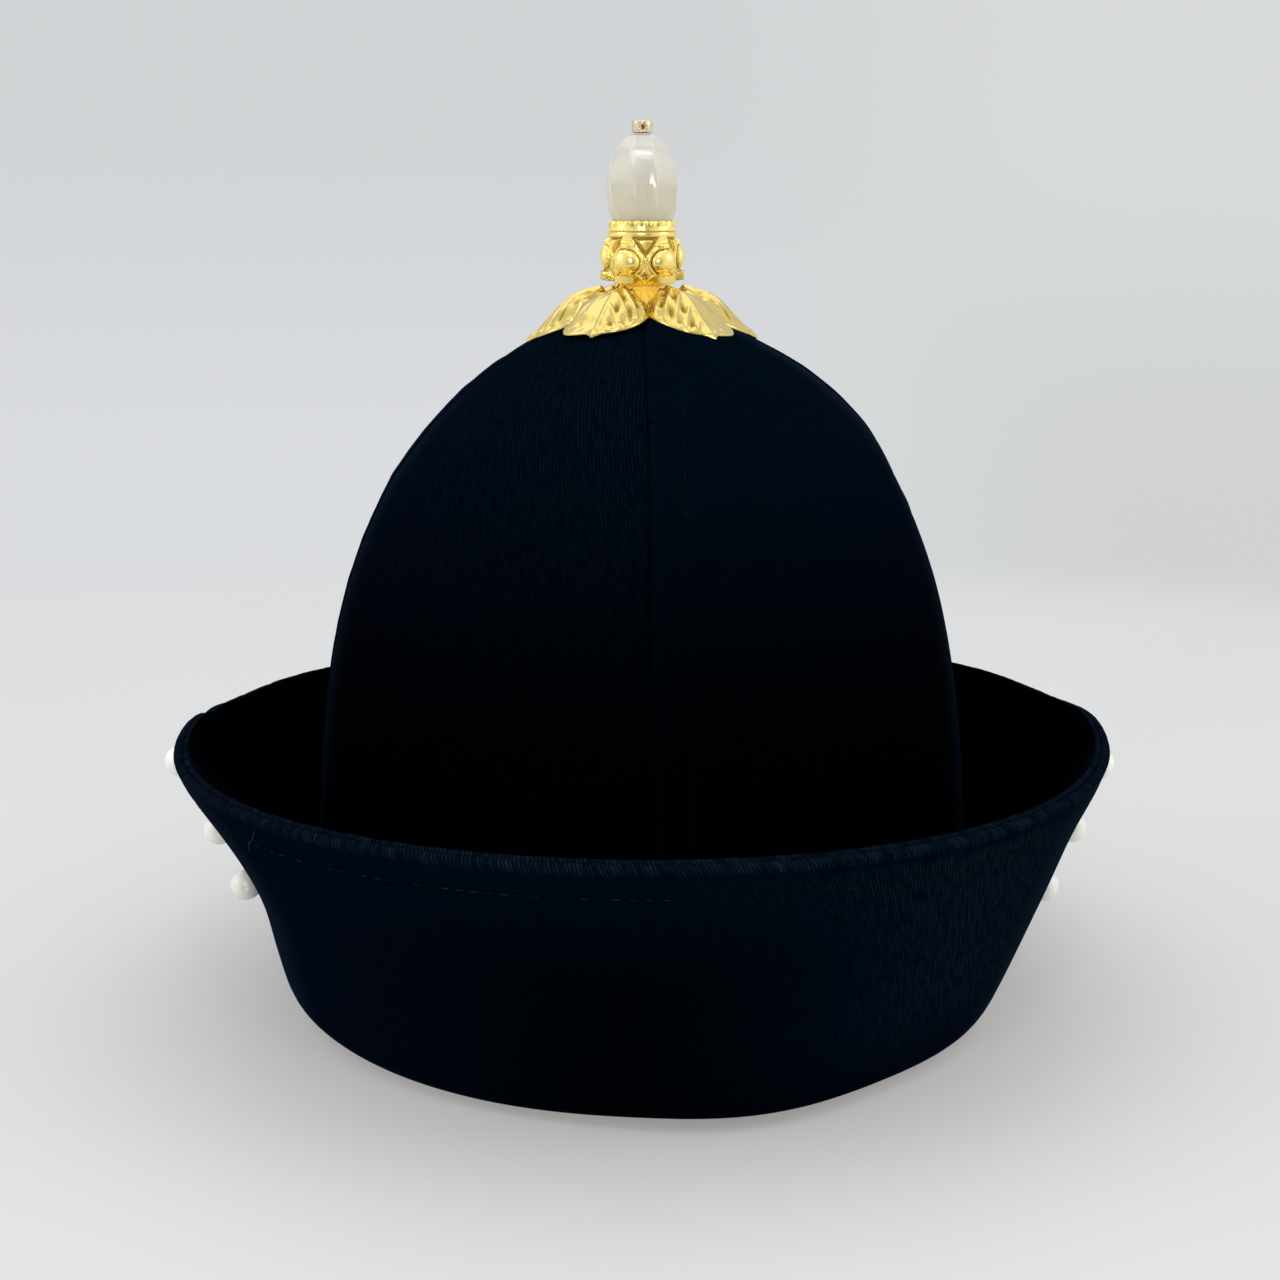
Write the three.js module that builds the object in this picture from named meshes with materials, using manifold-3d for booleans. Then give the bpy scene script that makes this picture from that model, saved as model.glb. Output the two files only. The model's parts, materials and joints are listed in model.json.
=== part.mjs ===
// A round-crowned hat of dark twill. Its stiff brim is folded up all round, a gilt finial with a
// faceted stone stands on the crown, and three rows of pearls run round the front half of the brim.
// Millimetres, +Z up. The origin is on the table under the middle of the crown. The hat's front
// faces +Y, its centre back seam faces -Y and the wearer's left is at -X.

import * as THREE from "three";
import { mergeVertices } from "three/addons/utils/BufferGeometryUtils.js";
import Module from "manifold-3d";

const wasm = await Module();
wasm.setup();

// Plan of the head opening: every level of the cloth is an oval this much longer than wide.
const PLAN_RATIO = 1.15;
const CLOTH_SIDES = 48;
const GAP = 0.3;

// Crown. Its outline is a rounded oval: exponents over 2 fill out the dome and the shoulder.
const CROWN_HALF_WIDTH = 87.5;
const CROWN_HEIGHT = 182.3;
const CROWN_CLOTH = 2.4;
const CROWN_DOME = 3.22;
const CROWN_SHOULDER = 1.92;
const CROWN_LEAN = 1.4;
const CROWN_LEAN_FROM = 0.76;
const CROWN_STEPS = 14;
const POST_HOLE = 2;

// Brim. Two cloth layers lie face to face: flat on the table under the crown's edge, round the
// fold, then up a straight wall that flares out to the rim.
const LAYER = 1.8;
const LAYER_GAP = 0.4;
const OPENING_HALF_WIDTH = 85.2;
const FOLD_START = 87.2;
const WALL_FOOT = 94.2;
const FOLD_HEIGHT = 9;
const RIM_HALF_WIDTH = 123.6;
const RIM_HEIGHT = 68.2;
const FOLD_STEPS = 5;
const WALL_STEPS = 6;
const BOTTOM_THICKNESS = LAYER + LAYER_GAP;

// Hand-made unevenness of the brim, in millimetres and in degrees from +X towards +Y: rises and
// falls of the rim, a shift of the whole rim, a fuller fold at front and back, and a dent in the
// left flank.
const RIM_WAVES = [
  { lift: 1.27, waves: 1, crest: -90 },
  { lift: 0.43, waves: 2, crest: 19 },
  { lift: 0.74, waves: 3, crest: 24 },
];
const RIM_SKEW = 1.23;
const RIM_SHIFT = { x: 0.36, y: 0.42 };
const FOLD_FULLNESS = 1.8;
const FOLD_FULL_FROM = 6;
const RIM_SHORTENING = 3.8;
const WALL_DENT = { depth: 4.7, direction: 194.6, spread: 40, place: 1.19 };

// Pearls, in rows round the front half of the brim. Angles are degrees from +X towards +Y.
const PEARL_RADIUS = 4.25;
const PEARLS_PER_ROW = 13;
const PEARLS_FROM = -4.3;
const PEARLS_TO = 182.7;
const PEARL_ROWS = [
  { name: "top", height: 61.8 },
  { name: "middle", height: 45.1 },
  { name: "low", height: 28.7 },
];

// Finial. Heights are above the top of the crown.
const FINIAL_TURN = 4.3;
const PETALS = 6;
const PETAL_SHEET = 1.3;
const PETAL_ARCH = 5.2;
const CLEFT_RADIUS = 18.5;
const PETAL_RADIUS = 30.2;
const PETAL_TIP = 2.3;
const SIDE_LEAF_SHORTER = 0.07;
const POST_RADIUS = 1.5;
const POST_HEAD_RADIUS = 5;
const COLLAR_BASE = 1.95;
const LANTERN_BASE = 6.3;
const BOSS_HEIGHT = 12.8;
const BOSS_RADIUS = 3.3;
const BODY_RADIUS = 8.9;
const CUP_BASE = 19.8;
const CUP_TEETH = 12;
const STONE_BASE = 22.1;
const STONE_FACETS = 8;
const TIP_BASE = 44.9;

const CLOTH_COLOUR = 0x0b0d16;
const GOLD_COLOUR = 0xe0a52e;
const STONE_COLOUR = 0xd8d5c8;
const PEARL_COLOUR = 0xeeece4;

const radians = THREE.MathUtils.degToRad;
const smoothstep = THREE.MathUtils.smoothstep;

// Finishes.
function cloth() {
  return new THREE.MeshStandardMaterial({ color: CLOTH_COLOUR, roughness: 0.85, metalness: 0 });
}

function gold() {
  return new THREE.MeshStandardMaterial({ color: GOLD_COLOUR, roughness: 0.2, metalness: 1 });
}

function stone() {
  return new THREE.MeshStandardMaterial({ color: STONE_COLOUR, roughness: 0.1, metalness: 0 });
}

function pearl() {
  return new THREE.MeshStandardMaterial({ color: PEARL_COLOUR, roughness: 0.25, metalness: 0 });
}

// A closed ring or disc turned round the Z axis from (radius, height) points, which go up the
// outside and down the inside. The first side starts at -Y and the sides run anticlockwise.
function turned(points, sides) {
  const profile = points.map(([radius, height]) => new THREE.Vector2(radius, height));
  return new THREE.LatheGeometry(profile, sides).rotateX(Math.PI / 2);
}

// The same, closed on itself, for a ring that doesn't reach the axis.
function turnedRing(points, sides) {
  return turned([...points, points[0]], sides);
}

// Moves each vertex of a geometry by a function of its own place and number.
function reshaped(geometry, move) {
  const position = geometry.getAttribute("position");
  const vertex = new THREE.Vector3();
  for (let i = 0; i < position.count; i += 1) {
    vertex.fromBufferAttribute(position, i);
    move(vertex, i);
    position.setXYZ(i, vertex.x, vertex.y, vertex.z);
  }
  return geometry;
}

function toSolid(geometry) {
  const bare = geometry.clone();
  bare.deleteAttribute("normal");
  bare.deleteAttribute("uv");
  const merged = mergeVertices(bare, 1e-4);
  const mesh = new wasm.Mesh({
    numProp: 3,
    vertProperties: merged.getAttribute("position").array,
    triVerts: new Uint32Array(merged.index.array),
  });
  return new wasm.Manifold(mesh);
}

function toGeometry(solid) {
  const mesh = solid.getMesh();
  const geometry = new THREE.BufferGeometry();
  geometry.setAttribute("position", new THREE.BufferAttribute(mesh.vertProperties, 3));
  geometry.setIndex(new THREE.BufferAttribute(mesh.triVerts, 1));
  geometry.computeVertexNormals();
  return geometry;
}

function named(name, geometry, material) {
  const mesh = new THREE.Mesh(geometry, material);
  mesh.name = name;
  return mesh;
}

// Sideways lean of the crown's shoulder, towards +X, at a height.
function crownLean(height) {
  const share = (height / CROWN_HEIGHT - CROWN_LEAN_FROM) / (1 - CROWN_LEAN_FROM);
  return CROWN_LEAN * Math.sin(Math.PI * THREE.MathUtils.clamp(share, 0, 1));
}

// Height of the crown's outside over a point of the plan.
function crownTopAt(x, y) {
  const rise = (across) => {
    const reach = Math.hypot(across, y / PLAN_RATIO) / CROWN_HALF_WIDTH;
    return CROWN_HEIGHT * (1 - reach ** CROWN_SHOULDER) ** (1 / CROWN_DOME);
  };
  return rise(x - crownLean(rise(x)));
}

// Point of the crown's outline at an angle from its foot (0) to its top (a quarter turn), set in
// from the outside by a depth along the normal.
function crownOutline(turn, depth) {
  const at = (angle) =>
    new THREE.Vector2(
      CROWN_HALF_WIDTH * Math.cos(angle) ** (2 / CROWN_SHOULDER),
      CROWN_HEIGHT * Math.sin(angle) ** (2 / CROWN_DOME),
    );
  const nudge = 1e-4;
  const along = at(turn + nudge).sub(at(turn - nudge)).normalize();
  const point = at(turn);
  return [point.x - depth * along.y, point.y + depth * along.x];
}

// The whole crown as a cloth shell, open below and at the post hole.
function crownShell() {
  const first = Math.asin((BOTTOM_THICKNESS / CROWN_HEIGHT) ** (CROWN_DOME / 2));
  const last = Math.acos((POST_HOLE / CROWN_HALF_WIDTH) ** (CROWN_SHOULDER / 2));
  const turns = [];
  for (let i = 0; i <= CROWN_STEPS; i += 1) {
    turns.push(first + ((last - first) * i) / CROWN_STEPS);
  }
  const outside = turns.map((turn) => crownOutline(turn, 0));
  const inside = turns.map((turn) => crownOutline(turn, CROWN_CLOTH)).reverse();
  inside[0][0] = POST_HOLE;
  inside[inside.length - 1][1] = outside[0][1];
  const shell = turnedRing([...outside, ...inside], CLOTH_SIDES).scale(1, PLAN_RATIO, 1);
  return reshaped(shell, (vertex) => {
    vertex.x += crownLean(vertex.z);
  });
}

// Four gores: the shell cut at the back, front and side seams, which leave a fine gap.
function crownPanels() {
  const shell = toSolid(crownShell());
  const size = 2 * CROWN_HEIGHT;
  const corners = [
    { name: "crown_panel_back_left", x: -1, y: -1 },
    { name: "crown_panel_back_right", x: 1, y: -1 },
    { name: "crown_panel_front_right", x: 1, y: 1 },
    { name: "crown_panel_front_left", x: -1, y: 1 },
  ];
  return corners.map(({ name, x, y }) => {
    const reach = (size + GAP) / 2;
    const quarter = new THREE.BoxGeometry(size, size, size).translate(x * reach, y * reach, 0.4 * size);
    return named(name, toGeometry(shell.intersect(toSolid(quarter))), cloth());
  });
}

// The brim's outside line from a root beside the head opening to the rim: points with their
// inward normals.
function brimLine(rootHalfWidth) {
  const wall = new THREE.Vector2(RIM_HALF_WIDTH - WALL_FOOT, RIM_HEIGHT);
  const wallAt = (height) =>
    new THREE.Vector2(WALL_FOOT, 0).addScaledVector(wall, height / RIM_HEIGHT);
  const fold = new THREE.QuadraticBezierCurve(
    new THREE.Vector2(FOLD_START, 0),
    new THREE.Vector2(WALL_FOOT, 0),
    wallAt(FOLD_HEIGHT),
  );
  const line = [{ point: new THREE.Vector2(rootHalfWidth, 0), inward: new THREE.Vector2(0, 1) }];
  const firstStep = rootHalfWidth < FOLD_START ? 0 : 1;
  for (let i = firstStep; i <= FOLD_STEPS; i += 1) {
    const tangent = fold.getTangent(i / FOLD_STEPS);
    const inward = new THREE.Vector2(-tangent.y, tangent.x);
    line.push({ point: fold.getPoint(i / FOLD_STEPS), inward });
  }
  const inward = new THREE.Vector2(-wall.y, wall.x).normalize();
  for (let i = 1; i <= WALL_STEPS; i += 1) {
    const height = FOLD_HEIGHT + ((RIM_HEIGHT - FOLD_HEIGHT) * i) / WALL_STEPS;
    line.push({ point: wallAt(height), inward });
  }
  return line;
}

// Moves a point of the evenly made brim to its hand-made place. The height is that of the point
// of the outside line behind which it lies.
function shapeBrim(vertex, height) {
  const share = smoothstep(height, 0, RIM_HEIGHT);
  const direction = Math.atan2(vertex.y, vertex.x);
  const off = Math.PI + radians(WALL_DENT.direction) - direction;
  const turn = Math.abs(THREE.MathUtils.euclideanModulo(off, 2 * Math.PI) - Math.PI);
  const near = Math.cos((Math.min(turn / radians(WALL_DENT.spread), 1) * Math.PI) / 2) ** 2;
  const dent = WALL_DENT.depth * near * Math.sin(Math.PI * share ** WALL_DENT.place);
  const out = RIM_SKEW * share * Math.sin(2 * direction) - dent;
  const full = FOLD_FULLNESS * smoothstep(height, 0, FOLD_FULL_FROM);
  const longer = full - (RIM_SHORTENING * height) / RIM_HEIGHT;
  vertex.x += out * Math.cos(direction) + RIM_SHIFT.x * share;
  vertex.y += (out + longer) * Math.sin(direction) + RIM_SHIFT.y * share;
  for (const { lift, waves, crest } of RIM_WAVES) {
    vertex.z += lift * share * Math.cos(waves * (direction - radians(crest)));
  }
}

// One cloth layer between two depths from the brim's outside, with a rounded upper edge.
function brimLayer(nearDepth, farDepth, rootHalfWidth) {
  const line = brimLine(rootHalfWidth);
  const offset = (depth) => line.map(({ point, inward }) => point.clone().addScaledVector(inward, depth));
  const { point, inward } = line[line.length - 1];
  const up = new THREE.Vector2(inward.y, -inward.x);
  const half = (farDepth - nearDepth) / 2;
  const middle = point.clone().addScaledVector(inward, nearDepth + half);
  const edge = [45, 90, 135].map((angle) =>
    middle
      .clone()
      .addScaledVector(inward, -half * Math.cos(radians(angle)))
      .addScaledVector(up, half * Math.sin(radians(angle))),
  );
  const section = [...offset(nearDepth), ...edge, ...offset(farDepth).reverse()];
  const ring = turnedRing(section.map((corner) => [corner.x, corner.y]), CLOTH_SIDES);
  const rising = line.map((step) => step.point.y);
  const heights = [...rising, ...edge.map(() => RIM_HEIGHT), ...rising.toReversed(), rising[0]];
  return reshaped(ring.scale(1, PLAN_RATIO, 1), (vertex, i) => {
    shapeBrim(vertex, heights[i % heights.length]);
  });
}

// A pearl sewn against the outside of the brim at a height and an angle round the plan.
function pearlAt(name, height, angle) {
  const slope = (RIM_HALF_WIDTH - WALL_FOOT) / RIM_HEIGHT;
  const halfWidth = WALL_FOOT + slope * height;
  const across = Math.cos(radians(angle));
  const forward = Math.sin(radians(angle));
  const seat = new THREE.Vector3(halfWidth * across, PLAN_RATIO * halfWidth * forward, height);
  shapeBrim(seat, height);
  const outward = new THREE.Vector3(across, forward / PLAN_RATIO, -slope).normalize();
  const mesh = named(name, new THREE.SphereGeometry(PEARL_RADIUS, 8, 6), pearl());
  mesh.position.copy(seat).addScaledVector(outward, PEARL_RADIUS + GAP);
  return mesh;
}

function pearls() {
  const step = (PEARLS_TO - PEARLS_FROM) / (PEARLS_PER_ROW - 1);
  return PEARL_ROWS.flatMap(({ name, height }) =>
    Array.from({ length: PEARLS_PER_ROW }, (_, i) => {
      const number = String(i + 1).padStart(2, "0");
      return pearlAt(`pearl_${name}_${number}`, height, PEARLS_FROM + step * i);
    }),
  );
}

// Share of the way from a petal's rib (0) to the cleft beside it (1), at an angle from -Y.
function petalShare(angle) {
  const width = (2 * Math.PI) / PETALS;
  const fromCleft = THREE.MathUtils.euclideanModulo(angle - radians(FINIAL_TURN), width);
  return Math.abs(fromCleft - width / 2) / (width / 2);
}

// Outline of the six leaves: broad lobes with a small point at the tip of each, and the leaves at
// the sides a little shorter.
function petalOutline() {
  const corners = [];
  const steps = 14 * PETALS;
  for (let i = 0; i < steps; i += 1) {
    const angle = radians(FINIAL_TURN) + (2 * Math.PI * i) / steps;
    const share = petalShare(angle);
    const lobe = CLEFT_RADIUS + (PETAL_RADIUS - CLEFT_RADIUS) * (1 - share ** 2.7);
    const length = lobe + PETAL_TIP * Math.max(0, 1 - share / 0.2) ** 1.5;
    const reach = length * (1 - SIDE_LEAF_SHORTER * Math.sin(angle) ** 2);
    corners.push(new THREE.Vector2(reach * Math.sin(angle), -reach * Math.cos(angle)));
  }
  return new THREE.Shape(corners);
}

// Cap of six arched leaves: a thin disc laid over the crown, raised along each leaf's rib and cut
// to the leaves' outline.
function petalCap() {
  const radii = [POST_RADIUS + GAP, 7.2, 9, 11, 14, 18, 21, 24, 27, 30, 34];
  const below = radii.map((radius) => [radius, GAP]);
  const above = radii.map((radius) => [radius, GAP + PETAL_SHEET]).reverse();
  const disc = reshaped(turnedRing([...below, ...above], 8 * PETALS), (vertex) => {
    const radius = Math.hypot(vertex.x, vertex.y);
    const angle = Math.atan2(vertex.x, -vertex.y);
    const ridge = 0.15 + 0.85 * Math.cos((petalShare(angle) * Math.PI) / 2) ** 0.7;
    const arch = smoothstep(radius, 7.2, 11) * (1 - smoothstep(radius, 17, 30));
    vertex.z += crownTopAt(vertex.x, vertex.y) + PETAL_ARCH * arch * ridge;
  });
  const depth = 60;
  const cutter = new THREE.ExtrudeGeometry(petalOutline(), { depth, bevelEnabled: false, steps: 1 });
  cutter.translate(0, 0, CROWN_HEIGHT - depth / 2);
  return toGeometry(toSolid(disc).intersect(toSolid(cutter)));
}

// Hidden pin: a head under the crown's top and a shank that runs up into the collar.
function post() {
  const head = CROWN_HEIGHT - crownTopAt(POST_HEAD_RADIUS, 0) + CROWN_CLOTH + 2 * GAP;
  return turned(
    [
      [0, -head - 1.2],
      [POST_HEAD_RADIUS, -head - 1.2],
      [POST_HEAD_RADIUS, -head],
      [POST_RADIUS, -head],
      [POST_RADIUS, 4.2],
      [0, 4.2],
    ],
    16,
  );
}

// Flared stem under a round moulding, bored from below for the pin.
function collar() {
  return turned(
    [
      [0, 4.5],
      [POST_RADIUS + GAP, 4.5],
      [POST_RADIUS + GAP, COLLAR_BASE],
      [6.5, COLLAR_BASE],
      [5.2, 2.6],
      [4.3, 3.4],
      [3.9, 4.2],
      [4.5, 4.6],
      [4.6, 5.1],
      [4.3, 5.7],
      [3.9, LANTERN_BASE - GAP],
      [0, LANTERN_BASE - GAP],
    ],
    20,
  );
}

// Body with a round boss over each leaf.
function lantern() {
  const body = turned(
    [
      [0, LANTERN_BASE],
      [5.2, LANTERN_BASE],
      [7.6, 7.2],
      [8.7, 9],
      [BODY_RADIUS, 11],
      [BODY_RADIUS, 17.5],
      [8.8, CUP_BASE - GAP],
      [0, CUP_BASE - GAP],
    ],
    24,
  );
  let solid = toSolid(body);
  for (let i = 0; i < PETALS; i += 1) {
    const angle = (2 * Math.PI * (i + 0.5)) / PETALS;
    const boss = new THREE.SphereGeometry(BOSS_RADIUS, 10, 6).scale(1, 0.75, 1);
    boss.translate(0, -BODY_RADIUS, BOSS_HEIGHT).rotateZ(angle);
    solid = solid.add(toSolid(boss));
  }
  return toGeometry(solid);
}

// Cup with a toothed rim round the seat of the stone.
function cup() {
  const bowl = turned(
    [
      [0, CUP_BASE],
      [8.7, CUP_BASE],
      [8.8, 21],
      [9, 22.6],
      [8.2, 22.6],
      [7.8, STONE_BASE - GAP],
      [0, STONE_BASE - GAP],
    ],
    2 * CUP_TEETH,
  );
  return reshaped(bowl, (vertex) => {
    if (vertex.z < 22.5) {
      return;
    }
    const angle = Math.atan2(vertex.x, -vertex.y);
    vertex.z += 0.4 + 0.4 * Math.cos(CUP_TEETH * angle);
  });
}

// Barrel-shaped stone with flat facets from neck to foot.
function crystal() {
  const section = [
    [0, STONE_BASE],
    [7.2, STONE_BASE],
    [8.9, 25.4],
    [9.6, 28.5],
    [9.6, 32.5],
    [8.8, 36.5],
    [6.7, 41],
    [3.1, TIP_BASE - GAP],
    [0, TIP_BASE - GAP],
  ];
  return turned(section, STONE_FACETS).rotateZ(Math.PI / STONE_FACETS);
}

function tip() {
  const section = [
    [0, TIP_BASE],
    [2.2, TIP_BASE],
    [2.75, TIP_BASE + 0.6],
    [2.75, TIP_BASE + 2.6],
    [2.1, TIP_BASE + 3.3],
    [0, TIP_BASE + 3.3],
  ];
  return turned(section, 16);
}

// The pieces stacked on the top of the crown, turned a little against the hat.
function finialStack() {
  const stack = new THREE.Group();
  stack.position.z = CROWN_HEIGHT;
  stack.rotation.z = radians(FINIAL_TURN);
  stack.add(
    named("finial_post", post(), gold()),
    named("finial_collar", collar(), gold()),
    named("finial_lantern", lantern(), gold()),
    named("finial_cup", cup(), gold()),
    named("finial_crystal", crystal(), stone()),
    named("finial_tip", tip(), gold()),
  );
  return stack;
}

const hat = new THREE.Group();
hat.add(...crownPanels());
hat.add(named("brim_outer_layer", brimLayer(0, LAYER, OPENING_HALF_WIDTH), cloth()));
const innerRoot = CROWN_HALF_WIDTH + GAP;
hat.add(
  named("brim_inner_layer", brimLayer(BOTTOM_THICKNESS, BOTTOM_THICKNESS + LAYER, innerRoot), cloth()),
);
hat.add(named("finial_petal_cap", petalCap(), gold()));
hat.add(finialStack());
hat.add(...pearls());

export default hat;
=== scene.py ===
"""A hat with a round crown of four dark twill gores and a stiff brim folded up all round, a gilt
finial with a milky faceted stone on top, and three rows of pearls round the front of the brim.
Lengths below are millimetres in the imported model's frame: +Z up, front at +Y, centre back at -Y."""

import json
import math

import bmesh
import bpy
import numpy as np
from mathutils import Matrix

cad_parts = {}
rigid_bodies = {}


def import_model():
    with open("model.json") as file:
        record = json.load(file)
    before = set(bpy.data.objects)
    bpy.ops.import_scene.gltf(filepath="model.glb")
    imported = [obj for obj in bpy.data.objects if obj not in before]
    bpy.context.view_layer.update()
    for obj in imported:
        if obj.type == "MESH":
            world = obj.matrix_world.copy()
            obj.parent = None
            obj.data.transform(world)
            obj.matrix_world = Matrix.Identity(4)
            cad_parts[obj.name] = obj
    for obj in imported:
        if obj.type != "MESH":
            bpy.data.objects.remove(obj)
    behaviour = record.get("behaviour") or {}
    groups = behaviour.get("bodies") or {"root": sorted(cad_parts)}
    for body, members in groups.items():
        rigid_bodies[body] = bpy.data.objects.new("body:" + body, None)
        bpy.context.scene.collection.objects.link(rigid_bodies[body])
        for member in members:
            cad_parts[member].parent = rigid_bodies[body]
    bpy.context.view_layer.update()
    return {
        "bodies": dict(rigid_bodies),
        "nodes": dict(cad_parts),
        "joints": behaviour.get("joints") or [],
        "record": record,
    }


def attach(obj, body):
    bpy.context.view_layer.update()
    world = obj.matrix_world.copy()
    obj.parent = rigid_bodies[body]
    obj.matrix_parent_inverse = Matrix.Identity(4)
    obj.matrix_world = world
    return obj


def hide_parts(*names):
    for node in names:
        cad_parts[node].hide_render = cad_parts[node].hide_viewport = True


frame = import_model()

MM = 0.001
TAU = 2 * math.pi

# Cloth sizes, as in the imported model.
PLAN_RATIO = 1.15
CROWN_HALF_WIDTH = 87.5
CROWN_HEIGHT = 182.3
CROWN_CLOTH = 2.4
CROWN_DOME = 3.22
CROWN_SHOULDER = 1.92
CROWN_LEAN = 1.4
CROWN_LEAN_FROM = 0.76
CROWN_FOOT = 2.3
CROWN_SAG, CROWN_SAG_AT, CROWN_SAG_WIDTH = 1.1, 33.0, 14.0
POST_HOLE = 2.0
LAYER = 1.8
LAYER_GAP = 0.4
LAYER_SHIFT, GAP_CLOSED, SHIFT_REACH = 0.55, 0.2, 45
OPENING_HALF_WIDTH = 85.2
INNER_ROOT = 87.8
FOLD_START = 87.2
WALL_FOOT = 94.2
FOLD_HEIGHT = 9.0
RIM_HALF_WIDTH = 123.6
RIM_HEIGHT = 68.2
WALL_SLOPE = (RIM_HALF_WIDTH - WALL_FOOT) / RIM_HEIGHT
MEAN_RADIUS = 118
RIM_WAVES = [(1.27, 1, -90), (0.43, 2, 19), (0.74, 3, 24)]
RIM_SKEW = 1.23
RIM_SHIFT = (0.36, 0.42)
FOLD_FULLNESS = 1.8
FOLD_FULL_FROM = 6.0
RIM_SHORTENING = 3.8
DENT_DEPTH, DENT_DIRECTION, DENT_SPREAD, DENT_PLACE = 5.0, 194.6, 40.0, 1.3
END_FULLNESS = 1.0
END_HOLLOW, END_HOLLOW_AT = 1.1, 53.0
FOLD_BULGES = [(5.0, -78, 15), (0.7, -42, 15), (-0.6, -125, 20)]
RIM_KICKS = [(1.5, 178, 11), (0.2, 148, 10), (-0.6, 163, 8), (-0.8, 172, 1.8), (1.2, 2, 8),
             (-0.9, 18, 9), (0.4, 38, 10)]

# Sewing.
SEAM_GAP = 0.1
SEAM_TONGUE = 0.12
ALLOWANCE = 8.3
CROWN_STITCH = 3.0
BRIM_STITCH = 3.5
BRIM_STITCH_DROP = 7.4
CROWN_THREAD, BRIM_THREAD = (1.0, 0.2, 0.16), (1.1, 0.2, 0.16)
TAIL_THICKNESS = 0.09
TAIL_ROUTE = [(-137.8, 66.2), (-139.6, 62.7), (-140.6, 61.7), (-141.9, 58.6)]

# Finial, with heights above the top of the crown.
FINIAL_TURN = math.radians(4.3)
PETALS = 6
PETAL_LIFT = 0.3
PETAL_SHEET = 1.3
PETAL_ARCH = 5.2
CLEFT_RADIUS = 18.5
PETAL_RADIUS = 30.2
PETAL_TIP = 2.3
SIDE_LEAF_SHORTER = 0.07
LEFT_LEAF_SHORTER = 1.0
SHALLOW_CLEFT = 4.5
FACETS = 8
STONE_TURN = 0.09
POST_RADIUS = 1.5
BOSS_HEIGHT = 13.5
BOSSES_LOWER = 1.5
BOSSES_APART = 0.06
BODY_RADIUS = 8.9

# Pearls.
PEARL_RADIUS = 4.25
PEARL_LIFT = 0.7
PEARL_TILT = 1.2
PEARLS_PER_ROW = 13
PEARL_ROWS = {"top": (61.3, -0.6, 180.2), "middle": (44.6, -2.0, 184.0), "low": (28.1, -2.0, 182.7)}


# Shared shape functions

def rise(x, low, high):
    """Share that goes from 0 at low to 1 at high: 3t^2 - 2t^3."""
    t = np.clip((x - low) / (high - low), 0, 1)
    return t * t * (3 - 2 * t)


def ridge(x, width):
    """Rounded ridge across x: e to the power of -(x / width)^2."""
    return np.exp(-((x / width) ** 2))


def apart(a, b):
    """Turn between two directions, either way round: |(a - b + pi) mod 2 pi - pi|."""
    return np.abs((a - b + math.pi) % TAU - math.pi)


def bumps(table, direction):
    """Rounded bumps round the hat, added up: each row is a height, a centre and a width in degrees."""
    return sum(high * ridge(apart(math.radians(centre), direction), math.radians(width))
               for high, centre, width in table)


def uneven(a, b, length, seed):
    """Soft unevenness over a map (a, b): eight sine waves of about that length in seeded
    directions, added up to about -1 to 1."""
    draw = np.random.default_rng(seed)
    total = 0.0
    for turn, shift, stretch in draw.uniform(0, 1, (8, 3)):
        along = a * math.cos(TAU * turn) + b * math.sin(TAU * turn)
        total = total + np.sin(TAU * (along / (length * (0.6 + stretch)) + shift))
    return total / 4


def quads(rows, columns):
    """Faces of a grid numbered row by row: each joins (i, j), (i, j+1), (i+1, j+1), (i+1, j)."""
    first = np.arange(rows - 1)[:, None] * columns + np.arange(columns - 1)
    return np.stack([first, first + 1, first + columns + 1, first + columns], -1).reshape(-1, 4)


def sheet(points, flat=None, mark=None):
    """A grid of points (rows, columns, 3) as a part: points, faces, flat map and mark."""
    rows, columns = points.shape[:2]
    flat = np.zeros((rows, columns, 2)) if flat is None else flat
    mark = np.zeros((rows, columns)) if mark is None else mark
    return points.reshape(-1, 3), quads(rows, columns), flat.reshape(-1, 2), mark.reshape(-1)


def copies(part, places, axes, mark=None):
    """The same part at each place: its x, y and z are laid along that place's three axes."""
    points, faces, flat, marks = part
    count = len(places)
    laid = np.einsum("vk,nkc->nvc", points, axes) + places[:, None, :]
    shifts = (np.arange(count) * len(points))[:, None, None]
    marks = np.tile(marks, count) if mark is None else np.repeat(mark, len(points))
    return laid.reshape(-1, 3), (faces + shifts).reshape(-1, 4), np.tile(flat, (count, 1)), marks


def wrapped(face, back):
    """Rows carried round a wall: along the face, back along the other side, and the first again."""
    return np.concatenate([face, back[::-1], face[:1]], 0)


def unit(vectors):
    """Vectors of length one."""
    return vectors / np.linalg.norm(vectors, axis=-1, keepdims=True)


def axes_of(along, out):
    """Three axes at each place: along, aside and out."""
    return np.stack([along, np.cross(out, along), out], 1)


def distance_along(line):
    """Distance from the first point of a line to each of its points."""
    return np.r_[0, np.cumsum(np.linalg.norm(np.diff(line, axis=0), axis=1))]


def new_object(name, data):
    """An object with its data, in the scene."""
    made = bpy.data.objects.new(name, data)
    bpy.context.scene.collection.objects.link(made)
    return made


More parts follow.
